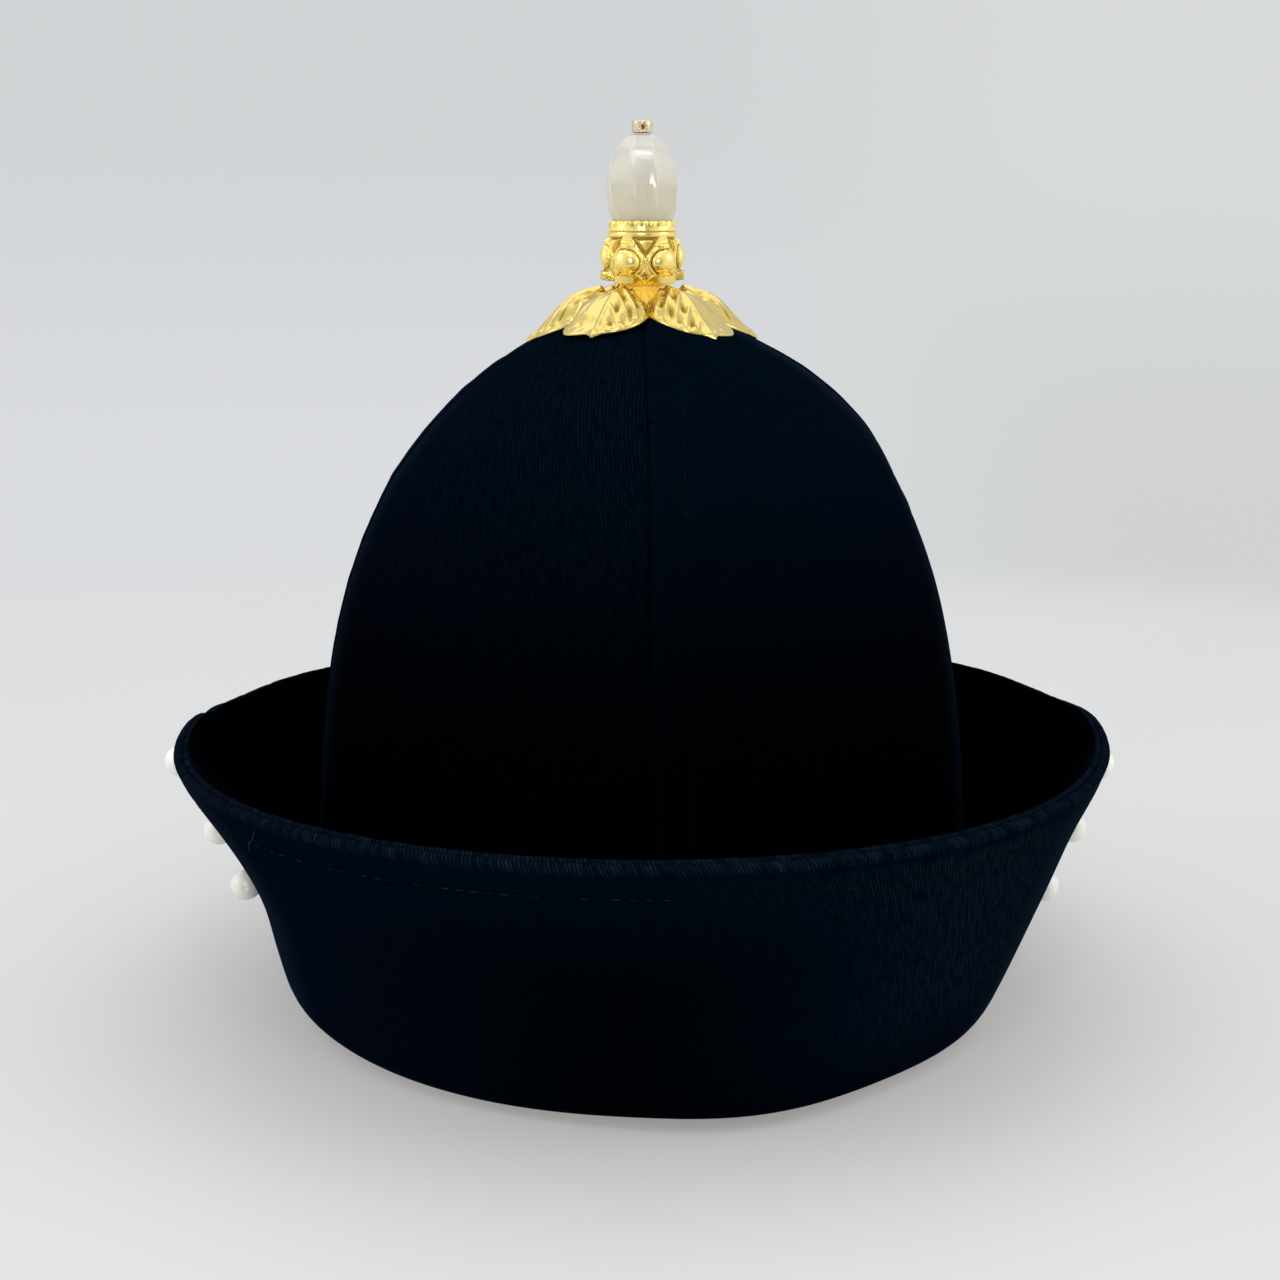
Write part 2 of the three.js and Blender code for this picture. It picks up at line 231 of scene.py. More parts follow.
def piece(name, parts, material, replaced=(), crisp=None):
    """Joins parts into one closed mesh object: doubles merged, faces outward, crisp edges past an
    angle in degrees, the flat map in metres and the mark as an attribute."""
    starts = np.cumsum([0] + [len(part[0]) for part in parts])
    points, flat, marks = (np.concatenate([part[k] for part in parts]) for k in (0, 2, 3))
    faces = np.concatenate([part[1] + start for part, start in zip(parts, starts)])
    mesh = bpy.data.meshes.new(name)
    mesh.vertices.add(len(points))
    mesh.vertices.foreach_set("co", (points * MM).ravel())
    mesh.loops.add(faces.size)
    mesh.loops.foreach_set("vertex_index", faces.ravel())
    mesh.polygons.add(len(faces))
    mesh.polygons.foreach_set("loop_start", np.arange(len(faces)) * 4)
    mesh.update(calc_edges=True)
    mesh.uv_layers.new(name="flat").data.foreach_set("uv", (flat * MM)[faces.ravel()].ravel())
    mesh.attributes.new("mark", "FLOAT", "POINT").data.foreach_set("value", marks)
    shell = bmesh.new()
    shell.from_mesh(mesh)
    bmesh.ops.remove_doubles(shell, verts=shell.verts, dist=1e-6)
    bmesh.ops.recalc_face_normals(shell, faces=shell.faces)
    shell.to_mesh(mesh)
    shell.free()
    mesh.shade_smooth()
    if crisp is not None:
        mesh.set_sharp_from_angle(angle=math.radians(crisp))
    mesh.materials.append(material)
    made = new_object(name, mesh)
    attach(made, "root")
    if replaced:
        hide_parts(*replaced)


def turned(profile, sides, shape, mark):
    """Surface turned round Z from (radius, height) rows: the angle runs from -Y. For each angle,
    radius and height, shape returns an added radius and height, and mark the mark."""
    profile = np.asarray(profile, float)
    angle = np.linspace(0, TAU, sides + 1)[None, :]
    radius = np.repeat(profile[:, :1], sides + 1, 1)
    height = np.repeat(profile[:, 1:], sides + 1, 1)
    more_radius, more_height = shape(angle, radius, height)
    radius, height = radius + more_radius, height + more_height
    points = np.stack([radius * np.sin(angle), -radius * np.cos(angle), height], -1)
    return sheet(points, None, mark(angle, radius, height) * np.ones_like(radius))


def rounded_profile(corners, step):
    """Corner points of a profile joined by a smooth line: Catmull-Rom through them, step apart."""
    corners = np.asarray(corners, float)
    lengths = distance_along(corners)
    at = np.linspace(0, lengths[-1], int(lengths[-1] / step) + 1)
    padded = np.vstack([2 * corners[0] - corners[1], corners, 2 * corners[-1] - corners[-2]])
    i = np.clip(np.searchsorted(lengths, at, side="right") - 1, 0, len(corners) - 2)
    t = ((at - lengths[i]) / (lengths[i + 1] - lengths[i]))[:, None]
    a, b, c, d = padded[i], padded[i + 1], padded[i + 2], padded[i + 3]
    squared, cubed = 2 * a - 5 * b + 4 * c - d, 3 * b - a - 3 * c + d
    return 0.5 * (2 * b + (c - a) * t + squared * t**2 + cubed * t**3)


def closed(wall):
    """A wall's profile with a flat disc added at its first height and one at its last."""
    return np.vstack([[0, wall[0, 1]], wall, [0, wall[-1, 1]]])


def pebble(across, rows=6, columns=8):
    """Ellipsoid about its own centre: half-sizes across along x, y and z."""
    down = np.linspace(0, math.pi, rows + 1)[:, None]
    around = np.linspace(0, TAU, columns + 1)[None, :]
    ball = np.stack([np.cos(down) * np.ones_like(around), np.sin(down) * np.cos(around),
                     np.sin(down) * np.sin(around)], -1)
    return sheet(ball * np.asarray(across))


def in_stack(part):
    """Lifts a part of the finial from heights above the crown's top, and gives it the turn."""
    points, faces, flat, marks = part
    c, s = math.cos(FINIAL_TURN), math.sin(FINIAL_TURN)
    x, y, z = points.T
    return np.stack([c * x - s * y, s * x + c * y, z + CROWN_HEIGHT], -1), faces, flat, marks


# Finishes

# The pitch of the ribs and the reach of the table are in metres.
RIB_PITCH = 0.0008
DEEP_TWILL = (0.0001, 0.0015, 0.0040)
LIT_TWILL = (0.0014, 0.0050, 0.0140)
FLAT_TWILL = (0.0006, 0.0038, 0.0105)
UNLIT_TWILL = (0.0001, 0.0001, 0.0001)
GREYED_TWILL = (0.0120, 0.0160, 0.0260)
# Colour of the painted sheen on cloth seen edge on.
PAINTED_EDGE_SHEEN = (0.004, 0.010, 0.022)
# Colour of painted shade in the gilt.
PAINTED_SHADE_GILT = (0.30, 0.20, 0.03)
TABLE_WHOLE, TABLE_GONE = 0.60, 0.80


class Nodes:
    """Adds nodes to a tree, each with its inputs linked or set in the same call."""

    def __init__(self, tree):
        self.tree = tree

    def feed(self, node, inputs):
        """Links or sets a node's inputs by name or number."""
        for key, value in inputs.items():
            if isinstance(value, bpy.types.NodeSocket):
                self.tree.links.new(value, node.inputs[key])
            else:
                node.inputs[key].default_value = value

    def add(self, kind, inputs=None, **settings):
        """The outputs of a new node, with its settings made by name and its inputs fed."""
        node = self.tree.nodes.new(kind)
        for key, value in settings.items():
            setattr(node, key, value)
        self.feed(node, inputs or {})
        return node.outputs

    def math(self, operation, a, b=0.0, c=0.0, clamp=False):
        """The result of one operation on two or three numbers, kept from 0 to 1 if clamped."""
        return self.add("ShaderNodeMath", {0: a, 1: b, 2: c}, operation=operation, use_clamp=clamp)[0]

    def fade(self, value, low, high):
        """Smooth step of a value, from 0 at low to 1 at high."""
        inputs = {"Value": value, "From Min": low, "From Max": high}
        return self.add("ShaderNodeMapRange", inputs, interpolation_type="SMOOTHSTEP")[0]

    def noise(self, place, scale, detail):
        """Soft noise from 0 to 1."""
        return self.add("ShaderNodeTexNoise", {"Vector": place, "Scale": scale, "Detail": detail})[0]

    def split(self, vector):
        """The x, y and z of a vector."""
        return self.add("ShaderNodeSeparateXYZ", {0: vector})

    def mix(self, share, a, b):
        """Colour a where share is 0, b where it is 1. A plain colour is (red, green, blue)."""
        a, b = (colour if isinstance(colour, bpy.types.NodeSocket) else (*colour, 1) for colour in (a, b))
        return self.add("ShaderNodeMix", {0: share, 6: a, 7: b}, data_type="RGBA")[2]

    def bump(self, height, strength, distance):
        """A normal that follows a height."""
        return self.add("ShaderNodeBump", {"Height": height, "Strength": strength, "Distance": distance})[0]


def new_group(name, inputs, outputs):
    """A shader node group with named inputs, vectors where they have no number, and named outputs."""
    group = bpy.data.node_groups.new(name, "ShaderNodeTree")
    for label, value in inputs.items():
        kind = "NodeSocketVector" if value is None else "NodeSocketFloat"
        socket = group.interface.new_socket(label, in_out="INPUT", socket_type=kind)
        if value is not None:
            socket.default_value = value
    for label in outputs:
        group.interface.new_socket(label, in_out="OUTPUT", socket_type="NodeSocketFloat")
    nodes = Nodes(group)
    return group, nodes, nodes.add("NodeGroupInput"), group.nodes.new("NodeGroupOutput")


def twill_group():
    """Twill weave over a flat map in metres. Ribs a pitch apart run up the map at a slant, each
    broken into yarn floats, with uneven spinning. Gives the rib height from 0 to 1 and a mask of
    short strokes along the ribs."""
    group, nodes, given, out = new_group(
        "Twill weave", {"Flat": None, "Pitch": RIB_PITCH, "Slant": 0.2}, ("Height", "Stroke"))
    turned_map = nodes.add("ShaderNodeVectorRotate", {"Vector": given["Flat"], "Angle": given["Slant"]},
                           rotation_type="Z_AXIS")[0]
    wander = nodes.noise(turned_map, 140.0, 3.0)
    parts = nodes.split(turned_map)
    across = nodes.math("MULTIPLY_ADD", wander, 0.9, nodes.math("DIVIDE", parts[0], given["Pitch"]))
    rib = nodes.math("MULTIPLY_ADD", nodes.math("SINE", nodes.math("MULTIPLY", across, TAU)), 0.5, 0.5)
    lengthways = nodes.math("DIVIDE", parts[1], given["Pitch"])
    lengthways = nodes.math("MULTIPLY_ADD", lengthways, 1.4, nodes.math("MULTIPLY", across, 0.5))
    yarn = nodes.math("ABSOLUTE", nodes.math("SINE", nodes.math("MULTIPLY", lengthways, math.pi)))
    shared = nodes.math("MULTIPLY_ADD", yarn, 0.35, 0.65)
    stretched = nodes.add("ShaderNodeMapping", {"Vector": turned_map, "Scale": (1.0, 0.22, 1.0)})[0]
    stroke = nodes.fade(nodes.noise(stretched, 900.0, 2.0), 0.34, 0.66)
    nodes.feed(out, {"Height": nodes.math("MULTIPLY", shared, rib), "Stroke": stroke})
    return group


def handling_group():
    """Uneven surface of handled things: a mask of broad noise, and a height with fine noise added."""
    group, nodes, given, out = new_group(
        "Handling", {"Where": None, "Broad": 120.0, "Fine": 1400.0}, ("Mask", "Height"))
    broad = nodes.noise(given["Where"], given["Broad"], 4.0)
    fine = nodes.noise(given["Where"], given["Fine"], 2.0)
    nodes.feed(out, {"Mask": broad, "Height": nodes.math("MULTIPLY_ADD", fine, 0.4, broad)})
    return group


TWILL = twill_group()
HANDLING = handling_group()


class Finish(Nodes):
    """The nodes of a new material, with its place on the object and its handling at two scales."""

    def __init__(self, name, broad, fine):
        self.material = bpy.data.materials.new(name)
        self.material.use_nodes = True
        super().__init__(self.material.node_tree)
        self.place = self.add("ShaderNodeTexCoord")["Object"]
        self.handled = self.add("ShaderNodeGroup", {"Where": self.place, "Broad": broad, "Fine": fine},
                                node_tree=HANDLING)
        self.mask = self.handled["Mask"]

    def mark(self):
        """The number that each point of the piece carries."""
        return self.add("ShaderNodeAttribute", attribute_name="mark")["Fac"]

    def of_mask(self, low, more):
        """A number that goes up from low by the mask."""
        return self.math("MULTIPLY_ADD", self.mask, more, low)

    def given_to_shader(self, inputs):
        """The material, with its shader's inputs linked or set."""
        self.feed(self.tree.nodes["Principled BSDF"], inputs)
        return self.material


def cloth_material(name, slant, deep, lit):
    """Dark cotton twill: rib height and strokes along the ribs drive colour, roughness and bump,
    and the colour is greener in the middle than at the flanks. Where the mark is above 0 it greys
    the crests, for wear and for painted sheen; where it is below 0 it darkens the cloth towards
    black as painted shade. A faint painted sheen lies where the cloth is seen edge on."""
    cloth = Finish(name, 22.0, 260.0)
    flat = cloth.add("ShaderNodeUVMap", uv_map="flat")[0]
    weave = cloth.add("ShaderNodeGroup", {"Flat": flat, "Pitch": RIB_PITCH, "Slant": slant}, node_tree=TWILL)
    rib, stroke, wear_and_painted_light = weave["Height"], weave["Stroke"], cloth.mark()
    flank = cloth.fade(cloth.math("ABSOLUTE", cloth.split(cloth.place)[0]), 0.02, 0.07)
    tone = cloth.math("MULTIPLY", rib, cloth.math("ADD", stroke, 0.25), clamp=True)
    tone = cloth.math("MULTIPLY_ADD", cloth.mask, 0.2, tone, clamp=True)
    crest = cloth.math("MULTIPLY", cloth.math("POWER", rib, 1.5), stroke)
    # Wear and painted sheen: where the mark is above 0 it greys the rib crests.
    wear_and_sheen = cloth.math("MULTIPLY", wear_and_painted_light, cloth.math("MULTIPLY_ADD", crest, 1.3, 0.1), clamp=True)
    # Painted shade: where the mark is below 0 the cloth darkens towards black.
    painted_shade_share = cloth.math("MULTIPLY", wear_and_painted_light, -1.0, clamp=True)
    green = (lit[0], lit[1] * 1.12, lit[2] * 0.8)
    colour = cloth.mix(tone, deep, cloth.mix(flank, green, lit))
    colour = cloth.mix(wear_and_sheen, cloth.mix(painted_shade_share, colour, UNLIT_TWILL), GREYED_TWILL)
    # Painted sheen: pale colour where the cloth is seen edge on, fainter under painted shade.
    edge_on = cloth.fade(cloth.add("ShaderNodeLayerWeight", {"Blend": 0.5})["Facing"], 0.76, 1.0)
    edge_sheen_share = cloth.math("MULTIPLY", edge_on, cloth.math("MULTIPLY_ADD", painted_shade_share, -0.6, 1.0))
    return cloth.given_to_shader({
        "Base Color": cloth.mix(edge_sheen_share, colour, PAINTED_EDGE_SHEEN), "Roughness": cloth.math("MULTIPLY_ADD", rib, -0.15, 0.75),
        "Normal": cloth.bump(rib, 0.8, 0.0002), "Specular IOR Level": 0.0003})


def thread_material(name, low, high):
    """Twisted sewing thread: fine slanting plies by Object coordinates. The mark sets how far the
    thread stands out from the cloth."""
    yarn = Finish(name, 300.0, 2500.0)
    plies = yarn.add("ShaderNodeTexWave", {"Vector": yarn.place, "Scale": 900.0, "Distortion": 1.5},
                     wave_type="BANDS", bands_direction="DIAGONAL")["Fac"]
    tone = yarn.math("MULTIPLY_ADD", yarn.math("MULTIPLY", plies, yarn.mask), 0.8, 0.2)
    tone = yarn.math("MULTIPLY", tone, yarn.mark(), clamp=True)
    return yarn.given_to_shader({
        "Base Color": yarn.mix(tone, low, high), "Roughness": yarn.of_mask(0.6, 0.3),
        "Normal": yarn.bump(plies, 0.5, 0.00008), "Specular IOR Level": 0.01})


def gold_material(name, low, high, metal=1.0, glow=0.0):
    """Bright gilt casting: the mark darkens the gilt as painted shade in recesses and beside reliefs,
    and handling breaks the polish. A faint glow stands for the light that bright neighbours throw on a piece
    between them."""
    gold = Finish(name, 260.0, 1500.0)
    deep = gold.mark()
    return gold.given_to_shader({
        "Base Color": gold.mix(deep, gold.mix(gold.mask, low, high), PAINTED_SHADE_GILT),
        "Roughness": gold.math("MULTIPLY_ADD", deep, 0.3, gold.of_mask(0.16, 0.16)),
        "Normal": gold.bump(gold.handled["Height"], 0.16, 0.0004),
        "Metallic": metal, "Emission Color": (*low, 1), "Emission Strength": glow})


def stone_material():
    """Milky stone: cloudy veils inside, warmer towards the gilt cup as a painted reflection of the
    gilt, polished facets, and the mark whitens facet edges and one patch as painted highlights."""
    veils = Finish("Milky stone", 110.0, 600.0)
    # Painted reflection of the gilt: the colour grows warmer towards the cup below.
    up = veils.fade(veils.split(veils.place)[2], 0.206, 0.224)
    dull = veils.mix(up, (0.72, 0.66, 0.48), (0.71, 0.695, 0.625))
    clear = veils.mix(up, (0.90, 0.84, 0.67), (0.85, 0.835, 0.765))
    edges = veils.math("MULTIPLY", veils.mark(), 0.9, clamp=True)
    return veils.given_to_shader({
        "Base Color": veils.mix(edges, veils.mix(veils.mask, dull, clear), (0.99, 0.98, 0.94)),
        "Roughness": veils.of_mask(0.10, 0.12), "IOR": 1.5, "Transmission Weight": 0.35,
        "Subsurface Weight": 0.35, "Subsurface Radius": (0.004, 0.004, 0.0035), "Subsurface Scale": 1.0})


def pearl_material():
    """Pearl: soft lustre under a clear coat, a faint warm and cool play over the surface."""
    play = Finish("Pearl lustre", 240.0, 900.0)
    return play.given_to_shader({
        "Base Color": play.mix(play.mask, (0.88, 0.88, 0.79), (0.95, 0.96, 0.91)),
        "Roughness": play.of_mask(0.22, 0.1), "Coat Weight": play.of_mask(0.7, 0.3),
        "Coat Roughness": 0.26, "Coat IOR": 1.7, "Subsurface Weight": 0.2,
        "Subsurface Radius": (0.002, 0.0018, 0.0015), "Subsurface Scale": 1.0})


def table_material():
    """Matt pale table: faint clouding and grain, and it fades out far from the hat. A painted fill
    light makes it glow, warm at -Y and dimmer and cooler towards +Y.
    """
    table = Finish("Pale table", 3.0, 700.0)
    far = table.fade(table.split(table.place)[1], -0.25, 0.40)
    away = table.add("ShaderNodeVectorMath", {0: table.place}, operation="LENGTH")["Value"]
    return table.given_to_shader({
        "Base Color": table.mix(table.mask, (0.396, 0.392, 0.387), (0.450, 0.446, 0.441)),
        # Painted fill light: the table glows, warm at -Y, dimmer and cooler towards +Y.
        "Emission Color": table.mix(far, (1.0, 0.975, 0.945), (0.75, 0.79, 0.83)),
        "Emission Strength": 0.27, "Roughness": 0.7, "Specular IOR Level": 0.2,
        "Alpha": table.fade(away, TABLE_GONE, TABLE_WHOLE)})


# Painted light: one twill in two copies, ribs made clear on two opposite gores to stand for raking light, and
# faint on the other two.
raking_lit_twill = cloth_material("Twill, ribs clear", -0.52, DEEP_TWILL, LIT_TWILL)
softly_lit_twill = cloth_material("Twill, ribs faint", -0.52, (0.0003, 0.0024, 0.0060), FLAT_TWILL)
brim_cloth = cloth_material("Twill of the brim", -0.42, (0.0002, 0.0020, 0.0055), FLAT_TWILL)
thread = thread_material("Dark thread", (0.0003, 0.0014, 0.0040), (0.030, 0.038, 0.058))
gilt = gold_material("Gilt casting", (0.98, 0.72, 0.17), (1.0, 0.83, 0.30))
leaf_gilt = gold_material("Gilt leaves", (0.64, 0.48, 0.12), (0.72, 0.58, 0.21))
warm_gilt = gold_material("Gilt stem", (1.0, 0.70, 0.10), (1.0, 0.86, 0.26), 0.2, 0.2)
dull_gilt = gold_material("Dull gilt", (0.60, 0.50, 0.32), (0.74, 0.65, 0.45))
stone = stone_material()
lustre = pearl_material()


# Crown

def crown_outline(turn, depth):
    """Half-width W cos(turn)^(2/shoulder) and height H sin(turn)^(2/dome) with the outward normal,
    set in by a depth along that normal."""
    across, up = 2 / CROWN_SHOULDER, 2 / CROWN_DOME
    c, s = np.cos(turn), np.sin(turn)
    radius, height = CROWN_HALF_WIDTH * c**across, CROWN_HEIGHT * s**up
    run = -CROWN_HALF_WIDTH * across * c ** (across - 1) * s
    climb = CROWN_HEIGHT * up * s ** (up - 1) * c
    length = np.hypot(run, climb)
    out, over = climb / length, -run / length
    return radius - depth * out, height - depth * over, out, over


def crown_lean(height):
    """Sideways lean of the shoulder: half a sine from a share of the height up to the top."""
    share = np.clip((height / CROWN_HEIGHT - CROWN_LEAN_FROM) / (1 - CROWN_LEAN_FROM), 0, 1)
    return CROWN_LEAN * np.sin(math.pi * share)


def crown_sag(x):
    """Drop of the crown at both sides of the centre seams, between the leaves and the shoulder."""
    return CROWN_SAG * ridge(np.abs(x) - CROWN_SAG_AT, CROWN_SAG_WIDTH)


def crown_point(turn, direction, depth):
    """Point and outward normal of the crown at a turn up its outline and a direction round it. The
    lean works at the sides and leaves the centre seams straight."""
    radius, height, out, over = crown_outline(turn, depth)
    c, s = np.cos(direction), np.sin(direction)
    ones = np.ones_like(direction)
    x = radius * c + crown_lean(height) * c**2
    place = np.stack([x, PLAN_RATIO * radius * s, height * ones - crown_sag(x)], -1)
    normal = unit(np.stack([out * c, out * s / PLAN_RATIO, over * ones], -1))
    return place, normal


def even_turns(count):
    """Turns up the crown's outline at even distances along it, and those distances."""
    first = math.asin((CROWN_FOOT / CROWN_HEIGHT) ** (CROWN_DOME / 2))
    last = math.acos((POST_HOLE / CROWN_HALF_WIDTH) ** (CROWN_SHOULDER / 2))
    fine = np.linspace(first, last, 4000)
    radius, height, _, _ = crown_outline(fine, 0)
    run = np.r_[0, np.cumsum(np.hypot(np.diff(radius), np.diff(height)))]
    return np.interp(np.linspace(0, run[-1], count), run, fine), np.linspace(0, run[-1], count)


def oval_arc(start):
    """Table of arc length against angle over a quarter of an oval of half-width 1."""
    angle = np.linspace(0, math.pi / 2, 400)
    speed = np.hypot(np.sin(start + angle), PLAN_RATIO * np.cos(start + angle))
    return angle, np.r_[0, np.cumsum((speed[1:] + speed[:-1]) / 2 * np.diff(angle))]


NEAR_SEAM = np.array([0, 0.25, 0.5, 0.8, 1.2, 1.8, 2.6, 3.6, 4.8, 6, 7, 7.6, 8, 8.3, 8.6, 9, 9.5, 10.2,
                      11.2, 12.5])
FAR_SEAM = np.array([12.5, 8, 5, 3.4, 2.2, 1.4, 0.9, 0.5, 0.25, 0])
MIDDLE_COLUMNS = 30
CROWN_ROWS = 200


def gore_shift(start):
    """Shift of a gore away from the seams at both its sides, which leaves the gap between gores."""
    middle = start + math.pi / 4
    return np.array([math.cos(middle), math.sin(middle), 0]) * SEAM_GAP * math.sqrt(2)


def crown_panel(name, start, material, seed):
    """One gore between two seams. Columns lie at set distances from the seams. The edges turn in
    at the seams, where a small tongue halfway through the cloth meets the next gore's; the
    allowance makes a low step beside the first seam, with a row of stitches along it that pulls
    the cloth in."""
    turn, climb = (values[:, None] for values in even_turns(CROWN_ROWS))
    radius = crown_outline(turn, 0)[0]
    angle, arc = oval_arc(start)
    width = radius * arc[-1]
    squeeze = np.minimum(1, 0.45 * width / NEAR_SEAM[-1])
    share = np.linspace(0, 1, MIDDLE_COLUMNS + 2)[1:-1]
    first, last = NEAR_SEAM[-1] * squeeze, width - FAR_SEAM[0] * squeeze
    near = np.hstack([NEAR_SEAM * squeeze, first + (last - first) * share, width - FAR_SEAM * squeeze])
    far = width - near
    direction = start + np.interp(near / radius, arc, angle)
    place, normal = crown_point(turn, direction, 0)
    inside, _ = crown_point(turn, direction, CROWN_CLOTH)
    open_part = rise(width, 18, 40)
    flange = 1 - rise(near, ALLOWANCE + 0.1, ALLOWANCE + 1.3)
    pull = 0.45 + 0.55 * np.cos(TAU * climb / CROWN_STITCH)
    pucker = uneven(climb, near * 0.25, 7, seed) * np.exp(-near / 7)
    pucker = pucker + uneven(climb, far, 8, seed + 1) * np.exp(-far / 5)
    out = (0.42 * flange - 0.34 * ridge(near - ALLOWANCE, 0.42) * pull) * open_part
    out = out + 0.16 * pucker * open_part + 0.45 * uneven(near, climb, 70, seed + 2) * rise(climb, 0, 30)
    out = out - 0.95 * ridge(near, 0.62) - 0.8 * ridge(far, 0.7)
    place = place + normal * out[..., None]
    shell, opposite = wrapped(place, inside) + gore_shift(start), wrapped(inside, place) + gore_shift(start)
    halfway = (shell + opposite) / 2
    along = np.array([math.cos(start), math.sin(start), 0])
    edges = halfway[:, :1] - SEAM_TONGUE * np.array([-along[1], along[0], 0])
    shell = np.concatenate([edges, shell, halfway[:, -1:] - SEAM_TONGUE * along], 1)
    flat = np.stack([near - width / 2, climb * np.ones_like(near)], -1)
    wear_and_painted_light = 0.12 * ridge(near - 0.8, 1.2) + 0.04 * ridge(near - ALLOWANCE - 1.1, 0.8)
    # Painted shade: the mark falls below 0 down the crown, so the cloth darkens from 165 mm to nearly black
    # at 80 mm.
    wear_and_painted_light = wear_and_painted_light - 0.9 * (1 - rise(place[..., 2], 80, 165))
    flat, wear_and_painted_light = wrapped(flat, flat), wrapped(wear_and_painted_light, 0 * wear_and_painted_light)
    flat, wear_and_painted_light = (np.concatenate([grid[:, :1], grid, grid[:, -1:]], 1) for grid in (flat, wear_and_painted_light))
    piece(name, [sheet(shell, flat, wear_and_painted_light)], material, [name], crisp=50)


def crown_stitches(start):
    """Places and axes of the stitches beside one seam: one each stitch length up the crown, the
    allowance's width away from the seam."""
    turn, climb = even_turns(4000)
    turn = np.interp(np.arange(4, climb[-1] - 22, CROWN_STITCH), climb, turn)
    angle, arc = oval_arc(start)
    direction = start + np.interp(ALLOWANCE / crown_outline(turn, 0)[0], arc, angle)
    place, normal = crown_point(turn, direction, 0)
    ahead, _ = crown_point(turn + 1e-4, direction, 0)
    return place + normal * 0.10 + gore_shift(start), axes_of(unit(ahead - place), normal)


# Brim

def brim_line(root):
    """The brim's outside line from its root to the rim, finely spaced: points, inward normals,
    distance run. Flat, then a quadratic curve through the fold, then the straight wall."""
    t = np.linspace(0, 1, 60)[:, None]
    a, b = np.array([FOLD_START, 0]), np.array([WALL_FOOT, 0])
    c = np.array([WALL_FOOT + WALL_SLOPE * FOLD_HEIGHT, FOLD_HEIGHT])
    fold = (1 - t) ** 2 * a + 2 * t * (1 - t) * b + t**2 * c
    height = np.linspace(FOLD_HEIGHT, RIM_HEIGHT, 200)[1:]
    line = np.vstack([fold, np.stack([WALL_FOOT + WALL_SLOPE * height, height], -1)])
    line = np.vstack([[root, 0], line if root < FOLD_START else line[line[:, 0] > root + 0.8]])
    along = unit(np.gradient(line, axis=0))
    return line, np.stack([-along[:, 1], along[:, 0]], -1), distance_along(line)


def along_line(at, run, values):
    """The line's points or normals at distances along it."""
    return np.stack([np.interp(at, run, values[:, k]) for k in (0, 1)], -1)


def shape_brim(half_width, direction, level, height):
    """Places of the even brim's points after the given changes: rim waves, skew and shift,
    a fuller rim over a slight hollow at both ends, the fuller fold and its bulges, and the dent in
    the left flank, each by the height of the outside line."""
    x, y = half_width * np.cos(direction), PLAN_RATIO * half_width * np.sin(direction)
    share = rise(height, 0, RIM_HEIGHT)
    bearing = np.arctan2(y, x)
    near = np.minimum(apart(math.radians(DENT_DIRECTION), bearing) / math.radians(DENT_SPREAD), 1)
    dent = DENT_DEPTH * np.cos(near * math.pi / 2) ** 2 * np.sin(math.pi * share**DENT_PLACE)
    out = RIM_SKEW * share * np.sin(2 * bearing) - dent
    hollow = END_HOLLOW * ridge(height - END_HOLLOW_AT, 10)
    out = out + (END_FULLNESS * share**6 - hollow) * np.cos(bearing) ** 8
    out = out + bumps(FOLD_BULGES, bearing) * rise(height, 0, 4) * (1 - rise(height, 12, 48))
    longer = FOLD_FULLNESS * rise(height, 0, FOLD_FULL_FROM) - RIM_SHORTENING * height / RIM_HEIGHT
    for lift, waves, crest in RIM_WAVES:
        level = level + lift * share * np.cos(waves * (bearing - math.radians(crest)))
    x = x + out * np.cos(bearing) + RIM_SHIFT[0] * share
    y = y + (out + longer) * np.sin(bearing) + RIM_SHIFT[1] * share
    return np.stack([x, y, level], -1)


BRIM_COLUMNS = 720
# Stands for the distance below the rim on a layer's back, where the wear of the rim doesn't reach.
BACK_ROW = 99.0


